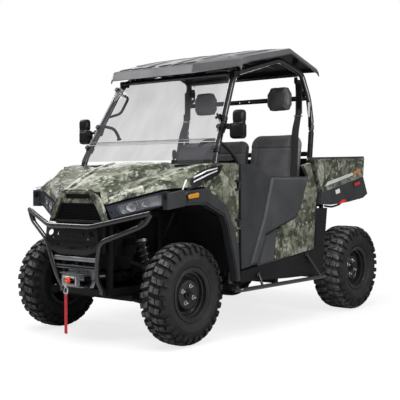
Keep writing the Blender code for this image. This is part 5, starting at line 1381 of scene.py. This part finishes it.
def roof():
    """Moulded roof: visor with slots, long top ribs, folded side edges and a ribbed underside, its top
    painted paler as painted light and its underside black as painted shade.
    """
    def row(y_mid, z_mid, y_side, z_side, crown=0.0):
        """One line across the roof, from edge to edge."""
        half = [(0.1, y_mid, z_mid + crown), (0.22, y_mid, z_mid + crown * 0.7), (0.36, y_mid, z_mid),
                (0.583, y_side, z_side), (0.6, y_side + 0.004, z_side - 0.034)]
        return [(-x, y, z) for x, y, z in reversed(half)] + [(0.0, y_mid, z_mid + crown)] + half

    rows = [row(-0.588, 1.702, -0.368, 1.752), row(-0.572, 1.762, -0.356, 1.8),
            row(-0.47, 1.792, -0.325, 1.81), row(-0.25, 1.852, -0.25, 1.832, 0.002),
            row(0.235, 1.95, 0.235, 1.936), row(0.595, 1.838, 0.595, 1.83), row(0.602, 1.812, 0.602, 1.806)]
    shape = Shape().sheet(rows)
    shell = shape.done("roof_shell", [ROOF_PAINTED_LIGHT, BLACK], "chassis", "black_plastic", "roof",
                       wall=0.01, edge=0.004)
    # The wall's second side, the roof's underside, takes black: painted shade
    shell.modifiers["wall"].material_offset = 1
    ribs = Shape()

    def top(x, y):
        """Height of the roof's top."""
        if y < 0.235:
            z = 1.852 + (1.95 - 1.852) * (y + 0.25) / 0.485
            if y < -0.25:
                z = 1.7655 + (1.852 - 1.7655) * (y + 0.56) / 0.31
        else:
            z = 1.95 + (1.838 - 1.95) * (y - 0.235) / 0.36
        drop = max(0.0, abs(x) - 0.36) / 0.223
        return z - drop * (0.02 if y < 0 else 0.014)

    stop = 0.56
    for x, wide, start in ((-0.46, 0.03, -0.24), (-0.3, 0.035, -0.4), (-0.13, 0.03, -0.46),
                           (0.13, 0.03, -0.46), (0.3, 0.035, -0.4), (0.46, 0.03, -0.24)):
        rings = []
        middle = -0.24 if start < -0.3 else 0.0
        for y in (start, start + 0.03, middle, 0.1, 0.215, 0.255, 0.4, stop - 0.03, stop):
            lift = 0.001 if y in (start, stop) else 0.0052 if 0.15 < y < 0.3 else 0.011
            z = top(x, y)
            rings.append([(x - wide, y, z), (x - wide * 0.7, y, z + lift), (x + wide * 0.7, y, z + lift),
                          (x + wide, y, z)])
        ribs.rings(rings)
    # Black for the slots, and for the ribs under the roof as painted shade
    ribs.paint(1)
    for s in (1, -1):
        for x0, x1 in ((0.04, 0.11), (0.15, 0.22), (0.26, 0.33)):
            slot = ((x0, -0.5485, 1.7775), (x1, -0.5485, 1.7775), (x1, -0.5, 1.7925), (x0, -0.5, 1.7925))
            ribs.rings([[flip((x, y, z - d), s) for x, y, z in slot] for d in (0.004, 0.0)])
    for k in range(4):
        x = 0.16 + 0.11 * k
        ribs.boxes((x - 0.008, -0.22, 1.8), (x + 0.008, 0.2, 1.85), 0.002, 1)
    ribs.paint(0)
    fold = ((0.5965, -0.352, 1.768), (0.5965, -0.246, 1.8), (0.5965, 0.235, 1.904), (0.5965, 0.59, 1.8))
    for s in (1, -1):
        ribs.sweep([flip(p, s) for p in fold], 0.0068, 8)
    ribs.boxes((0.462, 0.447, 1.8055), (0.498, 0.474, 1.874), 0.003)
    ribs.boxes((0.432, -0.314, 1.7395), (0.468, -0.286, 1.834), 0.003)
    ribs.done("roof_ribs", [ROOF_PAINTED_LIGHT, BLACK], "chassis", "black_plastic", edge=0.0016)
    visor = Shape()
    face = [(-0.36, -0.5935, 1.703), (0.36, -0.5935, 1.703), (0.36, -0.5785, 1.76), (-0.36, -0.5785, 1.76)]
    visor.rings([face, [(x, y + 0.003, z) for x, y, z in face]])
    for s in (1, -1):
        wing = [(0.362, -0.5925, 1.703), (0.583, -0.373, 1.752), (0.583, -0.361, 1.799),
                (0.362, -0.5775, 1.76)]
        visor.rings([[flip(p, s) for p in wing], [flip((x - 0.002, y + 0.003, z), s) for x, y, z in wing]])
    visor.paint(1)
    for x0, x1 in ((-0.285, -0.16), (-0.085, 0.02), (0.09, 0.19)):
        slot = [(x0, -0.58, 1.748), (x1, -0.58, 1.748), (x1 - 0.02, -0.574, 1.766),
                (x0 + 0.02, -0.574, 1.766)]
        visor.rings([slot, [(x, y + 0.004, z + 0.001) for x, y, z in slot]])
    visor.done("visor_face", [VISOR, SATIN], "chassis",
               "black_plastic", edge=0.001, steps=1)


def belts():
    """Belts: ribbed sleeve, silver slider, webbing down in front of the seat back, latch plate."""
    shape = Shape()
    path = rounded([(0.52, 0.4395, 1.742), (0.532, 0.4385, 1.64), (0.534, 0.433, 1.5),
                    (0.54, 0.376, 1.36), (0.548, 0.356, 1.23), (0.556, 0.336, 1.1),
                    (0.56, 0.312, 0.93)], 0.05, 4)
    rings = []
    for p in path:
        wide = 0.025 + 0.005 * min(1.0, max(0.0, (1.5 - p.z) / 0.12))
        rings.append([p + Vector((x, y, 0)) for x, y in ((-wide, -0.0014), (wide, -0.0014), (wide, 0.0014),
                                                         (-wide, 0.0014))])
    shape.rings(rings)
    shape.paint(1)
    shape.box((0.507, 0.432, 1.49), (0.557, 0.444, 1.715), 0.004)
    for k in range(19):
        z = 1.496 + 0.0115 * k
        shape.box((0.5045, 0.43, z), (0.5595, 0.446, z + 0.0062), 0.002, 1)
    shape.box((0.49, 0.434, 1.716), (0.5195, 0.444, 1.762), 0.004)
    shape.box((0.514, 0.4345, 1.598), (0.542, REST_BAR_Y - 0.0006, 1.62), 0.002)
    shape.paint(2)
    shape.box((0.5025, 0.4165, 1.469), (0.564, 0.438, 1.481), 0.003)
    shape.hexagon((0.512, REST_BAR_Y - 0.0015, 1.722), (0, -1, 0), 0.01, 0.008)
    shape.pair("belt_strap", [BELT, SATIN, CHROME], "chassis", "belt_web", "belt_{}", edge=0.0004, steps=1)


# Seats, each its own padded piece

def pad_layers(low, high, corner, axis):
    """A closed block built up along one axis: its outline has large corners and its rims are rounded."""
    u, v, w = {"Y": (0, 2, 1), "Z": (0, 1, 2)}[axis]
    depth = (high[w] - low[w]) / 2
    round_off = min(0.028, depth * 0.98)
    rings = []
    for k in range(13):
        t = k / 12 * math.pi
        side = -1 if k < 6 else 1
        level = (low[w] + high[w]) / 2
        if k != 6:
            level += side * (depth - round_off) - math.cos(t) * round_off
        inset = round_off * (1 - math.sin(t)) + (0.012 if k in (0, 12) else 0.0)
        line = soft_rect((low[u] + inset, low[v] + inset), (high[u] - inset, high[v] - inset),
                         max(0.004, corner - inset), 8)
        ring = []
        for a, b in line:
            point = [0.0, 0.0, 0.0]
            point[u], point[v], point[w] = a, b, level
            ring.append(point)
        rings.append(ring)
    return Shape().rings(rings)


SWELL_FRAMES = 20


def swell(obj, cap, voxel=0.006):
    """Inflate a closed cover as cloth for a few frames and keep the result, moved by the cap at most."""
    looks = list(obj.data.materials)
    remesh = obj.modifiers.new("voxels", "REMESH")
    remesh.mode = "VOXEL"
    remesh.voxel_size = voxel
    bpy.context.view_layer.update()
    even = settled(obj)
    obj.modifiers.remove(remesh)
    obj.data = even
    before = [v.co.copy() for v in even.vertices]
    cloth = obj.modifiers.new("cloth", "CLOTH")
    cloth.settings.use_pressure = True
    cloth.settings.uniform_pressure_force = 4.0
    cloth.settings.effector_weights.gravity = 0.0
    cloth.settings.quality = 4
    for frame_number in range(1, SWELL_FRAMES + 1):
        bpy.context.scene.frame_set(frame_number)
    soft = settled(obj)
    obj.modifiers.remove(cloth)
    bpy.context.scene.frame_set(1)
    for vert, start in zip(soft.vertices, before):
        move = vert.co - start
        if move.length > cap:
            vert.co = start + move * (cap / move.length)
    soft.materials.clear()
    for look in looks:
        soft.materials.append(look)
    soft.shade_smooth()
    obj.data = soft


def stitch(obj, seams, reach=0.012, deep=0.006):
    """Sink sewn channels into the front face. A seam is an axis, 0 for x or 2 for z, and its place."""
    for vert in obj.data.vertices:
        if vert.normal.y > -0.35:
            continue
        for axis, place in seams:
            gap = abs(vert.co[axis] - place)
            if gap < reach:
                vert.co.y += deep * (1 - gap / reach) ** 2


def pad(name, low, high, node, cap, axis, corner, seams=(), lean=0.0):
    """One padded piece: a slightly smaller block, swelled, stitched, then leaned by some degrees."""
    tight = cap * 0.8
    shape = pad_layers([a + tight for a in low], [a - tight for a in high], corner, axis)
    obj = shape.done(name, VINYL, "chassis", "vinyl", node)
    swell(obj, cap)
    stitch(obj, seams)
    if lean:
        foot = Vector(SEAT_FOOT)
        turn = Matrix.Translation(foot) @ Matrix.Rotation(math.radians(lean), 4, "X")
        obj.data.transform(turn @ Matrix.Translation(-foot))
    finish_shading(obj, smooth=1)


def seats():
    """Cushions, leaned backs with sewn seams and clipped-corner headrests, all swelled as cloth."""
    dress("seat_base", BLACK, 0.005, 3)
    backs = (("left", 0.12, 0.585, 1.366, 0.085), ("right", -0.58, 0.113, 1.33, 0.06))
    for word, x0, x1, top, corner in backs:
        wide = x1 - x0
        seams = [(0, x0 + wide * 0.2), (0, x1 - wide * 0.2), (2, top - 0.12)]
        pad("seat_back_pad_" + word, (x0, 0.317, 0.8845), (x1, 0.396, top), "seat_back_" + word, 0.01, "Y",
            corner, seams, -8.0)
    for word, x0, x1 in (("left", 0.165, 0.572), ("right", -0.572, 0.115)):
        pad("seat_pad_" + word, (x0 + 0.002, 0.016, 0.776), (x1 - 0.002, 0.3705, 0.884),
            "seat_cushion_" + word, 0.008, "Z", 0.045)
    layers = ((0.003, 0.012, 0.034), (0.012, 0.004, 0.038), (0.052, 0.004, 0.038), (0.066, 0.014, 0.034),
              (0.07, 0.03, 0.028))
    for word, s in SIDES:
        rings = []
        for ahead, inset, clip in layers:
            y = REST_BAR_Y - ahead
            x0, x1, z0, z1 = 0.25 + inset, 0.456 - inset, 1.523 + inset, 1.7 - inset
            outline = [(x0 + clip * 0.6, z0), (x1 - clip * 0.6, z0), (x1, z0 + clip), (x1, z1 - clip * 1.3),
                       (x1 - clip * 0.8, z1), (x0 + clip * 0.8, z1), (x0, z1 - clip * 1.3), (x0, z0 + clip)]
            rings.append([(x * s, y, z) for x, z in outline])
        obj = Shape().rings(rings).done("headrest_pad_" + word, VINYL, "chassis", "vinyl", "headrest_" + word)
        swell(obj, 0.004, 0.0045)
        stitch(obj, [(2, 1.668)], 0.008, 0.004)
        finish_shading(obj, smooth=1)


# Cargo bed

def bed():
    """Bed with its top rail, camouflaged upper sides, dark lower boxes, lamps, stripe, lever and tailgate."""
    body = "cargo_bed"
    shape = Shape()
    shape.box((-0.64, 0.545, 0.8562), (0.64, 1.178, 0.8718), 0.002)
    shape.box((-0.64, 0.5455, 0.8575), (0.64, 0.5665, 1.168), 0.003)
    for k in range(9):
        x = -0.56 + 0.14 * k
        shape.box((x - 0.022, 0.57, 0.8715), (x + 0.022, 1.172, 0.8775), 0.003)
    for k in range(7):
        x = -0.5 + 0.165 * k
        shape.box((x - 0.025, 0.5635, 0.89), (x + 0.025, 0.5715, 1.15), 0.004)
    shape.boxes((0.24, 1.145, 0.79), (0.275, 1.178, 0.86), 0.003)
    shape.rods((0.24, 1.165, 0.8), (0.275, 1.165, 0.8), 0.0108)
    shape.boxes((0.4, 1.15, 0.864), (0.44, 1.19, 0.871))
    shape.rods((0.4, 1.19, 0.872), (0.44, 1.19, 0.872), 0.0068)
    shape.done("bed_floor", BLACK, body, "camo", "cargo_bed", edge=0.0008, steps=1)
    side = Shape()
    side.prism([(0.5235, 0.915), (0.408, 1.15), (0.412, 1.164), (1.15, 1.186), (1.163, 1.17), (1.15, 1.038),
                (1.105, 1.026)], 0.641, 0.6805)
    side.paint(1)
    side.prism([(0.5055, 0.829), (0.523, 0.9145), (1.104, 1.025), (1.15, 1.034), (1.222, 0.898),
                (1.15, 0.8665), (0.914, 0.8385), (0.6645, 0.8225)], 0.641, 0.679)
    side.prism([(0.56, 0.85), (0.572, 0.905), (0.8, 0.95), (0.83, 0.86), (0.68, 0.838)], 0.67, 0.681)
    side.prism([(0.86, 0.866), (0.842, 0.958), (1.135, 1.014), (1.195, 0.9), (1.14, 0.882)], 0.67, 0.681)
    side.prism([(0.404, 1.15), (0.408, 1.1715), (1.15, 1.1935), (1.166, 1.1725), (1.16, 1.164), (1.148, 1.18),
                (0.424, 1.158)], 0.632, 0.6815)
    for k in range(4):
        y = 0.62 + 0.15 * k
        side.box((0.6335, y - 0.02, 0.885), (0.6425, y + 0.02, 1.15), 0.003)
    side.paint(2)
    side.prism([(0.56, 0.958), (0.596, 0.993), (0.975, 1.066), (0.99, 1.048), (0.96, 1.038)], 0.68, 0.6814)
    side.paint(3)
    side.prism([(0.985, 1.046), (0.996, 1.072), (1.1, 1.098), (1.104, 1.072)], 0.68, 0.6814)
    side.pair("bed_side", [CAMO, DARK, STRIPE, STRIPE_END], body, "camo",
              edge=0.003, steps=3)
    lamp = Shape()
    lamp.prism([(0.985, 0.986), (1.09, 1.006), (1.104, 0.972), (0.992, 0.952)], 0.6795, 0.6835)
    lamp.paint(1)
    lamp.prism([(0.996, 0.982), (1.08, 0.998), (1.09, 0.975), (1.001, 0.958)], 0.6825, 0.687)
    lamp.paint(2)
    lamp.prism([(0.715, 0.93), (0.775, 0.942), (0.786, 0.912), (0.724, 0.9)], 0.6808, 0.6822)
    lamp.paint(0)
    lamp.sweep([(0.655, 0.6, 0.815), (0.672, 0.68, 0.806), (0.676, 0.78, 0.822), (0.676, 0.805, 0.838)],
               0.0075, 12, reach=0.03)
    lamp.paint(3)
    grip = [(0.676, 0.775, 0.824), (0.677, 0.82, 0.846), (0.677, 0.868, 0.848)]
    lamp.sweep(grip, [0.01, 0.0115, 0.009], 12)
    lamp.pair("bed_fittings", [SATIN, RED_LENS, WHITE, RED_PLASTIC], body, "camo", edge=0.0012, steps=2)
    gate = Shape()
    gate.box((-0.63, 1.1865, 0.8845), (0.63, 1.2095, 1.17), 0.005, 3)
    for x in (0.375, 0.4405):
        gate.boxes((x, 1.184, 0.866), (x + 0.0245, 1.2, 0.902), 0.002)
    gate.box((-0.56, 1.206, 0.925), (0.56, 1.2135, 1.13), 0.008, 3)
    gate.paint(1)
    for k in range(3):
        z = 0.955 + 0.055 * k
        gate.box((-0.52, 1.212, z), (0.52, 1.217, z + 0.022), 0.004)
    gate.paint(2)
    gate.box((-0.075, 1.208, 1.12), (0.075, 1.223, 1.155), 0.006, 3)
    gate.boxes((0.572, 1.207, 0.9), (0.622, 1.2145, 1.01), 0.004)
    gate.done("gate_panel", [DARK, BLACK, RED_LENS], "tailgate", "dark_plastic", "tailgate",
              edge=0.001, steps=1)


# Running gear

def springs():
    """Coil springs with their plates at each corner, over the plain links."""
    dress("front_suspension", UNDER, 0.0012)
    dress("rear_suspension", UNDER, 0.0012)
    corners = (("front_coils", FRONT_AXLE_Y - 0.05, (0.358, 0.285), (0.262, 0.64), 0.033),
               ("rear_coils", REAR_AXLE_Y - 0.07, (0.37, 0.33), (0.285, 0.655), 0.035))
    for base, y, low, high, wide in corners:
        shape = Shape()
        start, end = Vector((low[0], y, low[1])), Vector((high[0], y, high[1]))
        shape.coil(start.lerp(end, 0.04), start.lerp(end, 0.94), wide, 0.0052, 9)
        shape.paint(1)
        shape.rod(start, start.lerp(end, 0.035), wide + 0.006)
        shape.rod(start.lerp(end, 0.94), start.lerp(end, 0.985), wide + 0.006, wide + 0.004)
        shape.pair(base, [SPRING, PLATE], "chassis", "black_steel", sharp=40.0)


def under_parts():
    """The remaining solids with softened edges, the engine's fins and the axles' rubber boots."""
    for node in ("frame", "front_drive", "rear_drive", "steering_rack", "knuckle_left", "knuckle_right"):
        dress(node, STEEL if node == "steering_rack" else UNDER, 0.0014)
    dress("engine", CAST, 0.004, 3)
    dress("exhaust", EXHAUST, 0.002)
    shape = Shape()
    for k in range(9):
        z = 0.405 + 0.026 * k
        shape.box((-0.172, 0.57, z), (0.172, 0.77, z + 0.009), 0.002, 1)
    for k in range(3):
        shape.rod((0.165, 0.62 + 0.055 * k, 0.43), (0.176, 0.62 + 0.055 * k, 0.43), 0.016)
    shape.done("engine_fins", CAST, "chassis", "steel", edge=0.0006, steps=1)
    guards = Shape()
    for outer, inner, y, radius in (((0.405, 0.318), (0.13, 0.379), FRONT_AXLE_Y, 0.03),
                                    ((0.4265, 0.326), (0.13, 0.392), REAR_AXLE_Y, 0.032)):
        boot, root = (Vector((x, y, z)) for x, z in (outer, inner))
        for k in range(5):
            share = 0.03 * k
            guards.rods(boot.lerp(root, share), boot.lerp(root, share + 0.018), radius - 0.003 * k)
    guards.done("axle_boots", SOFT_RUBBER, "chassis", "black_steel", sharp=50.0)


PIECES = [cage, bumper, winch_parts, side_steps, nose_and_grille, headlamps, hood, fenders, fender_marks,
          arches, doors, quarters, tub, dash, lever_and_boot, steering, screen, mirrors, roof, belts, seats,
          bed, springs, under_parts]


# Studio

def studio():
    """Pale floor that fades into a white backdrop, soft lamps, and the camera of the photograph."""
    floor = Shape()
    far = 40
    floor.sheet([[(-far, y, 0), (far, y, 0)] for y in (-far, far)])
    mesh = floor.mesh("floor")
    ground = bpy.data.objects.new("floor", mesh)
    bpy.context.scene.collection.objects.link(ground)
    look = Look("floor_paper", (0.9, 0.9, 0.9), 0.9, **{"Specular IOR Level": 0.1})
    seen = look.node("ShaderNodeLightPath", out="Is Camera Ray")
    look.set({"Base Color": look.mix(seen, (0.34, 0.34, 0.34), (0.9, 0.9, 0.9))})
    away = look.vector("LENGTH", look.place, out="Value")
    glow = look.node("ShaderNodeEmission", {"Color": (1, 1, 1), "Strength": 1.0})
    blend = look.node("ShaderNodeMixShader", {0: (away.ramp(2.2, 4.6) * 0.22 + 0.78) * seen})
    shader = blend.socket.node
    look.tree.links.new(look.surface.outputs[0], shader.inputs[1])
    look.tree.links.new(glow.socket, shader.inputs[2])
    look.tree.links.new(blend.socket, look.tree.nodes["Material Output"].inputs[0])
    mesh.materials.append(look.material)
    world = bpy.data.worlds.new("studio")
    bpy.context.scene.world = world
    world.use_nodes = True
    tree = world.node_tree
    sky = tree.nodes["Background"]
    sky.inputs[0].default_value = (1, 1, 1, 1)
    sky.inputs[1].default_value = 0.27
    white = tree.nodes.new("ShaderNodeBackground")
    white.inputs[0].default_value = (1, 1, 1, 1)
    path = tree.nodes.new("ShaderNodeLightPath")
    either = tree.nodes.new("ShaderNodeMath")
    either.operation = "MAXIMUM"
    both = tree.nodes.new("ShaderNodeMixShader")
    tree.links.new(path.outputs["Is Camera Ray"], either.inputs[0])
    tree.links.new(path.outputs["Is Transmission Ray"], either.inputs[1])
    tree.links.new(either.outputs[0], both.inputs[0])
    tree.links.new(sky.outputs[0], both.inputs[1])
    tree.links.new(white.outputs[0], both.inputs[2])
    tree.links.new(both.outputs[0], tree.nodes["World Output"].inputs[0])
    for name, spot, aim, size, power, shows in LAMPS:
        data = bpy.data.lights.new(name, "AREA")
        data.shape = "RECTANGLE"
        data.size, data.size_y = size
        data.energy = power
        lamp = bpy.data.objects.new(name, data)
        bpy.context.scene.collection.objects.link(lamp)
        lamp.location = spot
        lamp.visible_glossy = shows
        lamp.visible_camera = False
        lamp.rotation_euler = (Vector(aim) - Vector(spot)).to_track_quat("-Z", "Y").to_euler()
    data = bpy.data.cameras.new("camera")
    data.lens = CAMERA_LENS
    data.sensor_width = CAMERA_SENSOR
    camera = bpy.data.objects.new("camera", data)
    bpy.context.scene.collection.objects.link(camera)
    camera.location = CAMERA_AT
    camera.rotation_euler = [math.radians(a) for a in CAMERA_TURN]
    bpy.context.scene.camera = camera
    bpy.context.scene.view_settings.view_transform = "Standard"


# Name, place, aim, size, power in watts, and whether it shows in gloss
LAMPS = [
    ("overhead", (0.6, -1.5, 4.4), (0.1, -0.5, 0.8), (3.8, 4.4), 330.0, False),
    ("side_strip", (4.4, 0.2, 3.4), (0.3, 0.0, 0.8), (0.7, 3.4), 90.0, True),
    ("side_fill", (5.2, -1.6, 2.0), (0.3, -0.1, 0.7), (1.8, 1.4), 40.0, True),
    ("front_strip", (-2.9, -1.05, 4.1), (0.0, -0.8, 0.8), (0.9, 2.6), 60.0, True),
    ("back_wall", (-4.6, 4.6, 2.4), (0.0, -0.4, 0.9), (6.0, 3.4), 180.0, True),
]

# Finish of a solid that no piece stands for, by its material slot
DEFAULT = {"camo": CAMO, "dark_plastic": DARK, "black_plastic": BLACK, "black_steel": COAT, "steel": CAST,
           "tyre": RUBBER, "clear": CLEAR, "lamp": LENS, "vinyl": VINYL, "belt_web": BELT,
           "red_web": RED_STRAP}
for node, obj in frame["nodes"].items():
    obj.data.materials.clear()
    obj.data.materials.append(DEFAULT[SLOT_OF[node]].material)

wheels()
for build in PIECES:
    build()
studio()
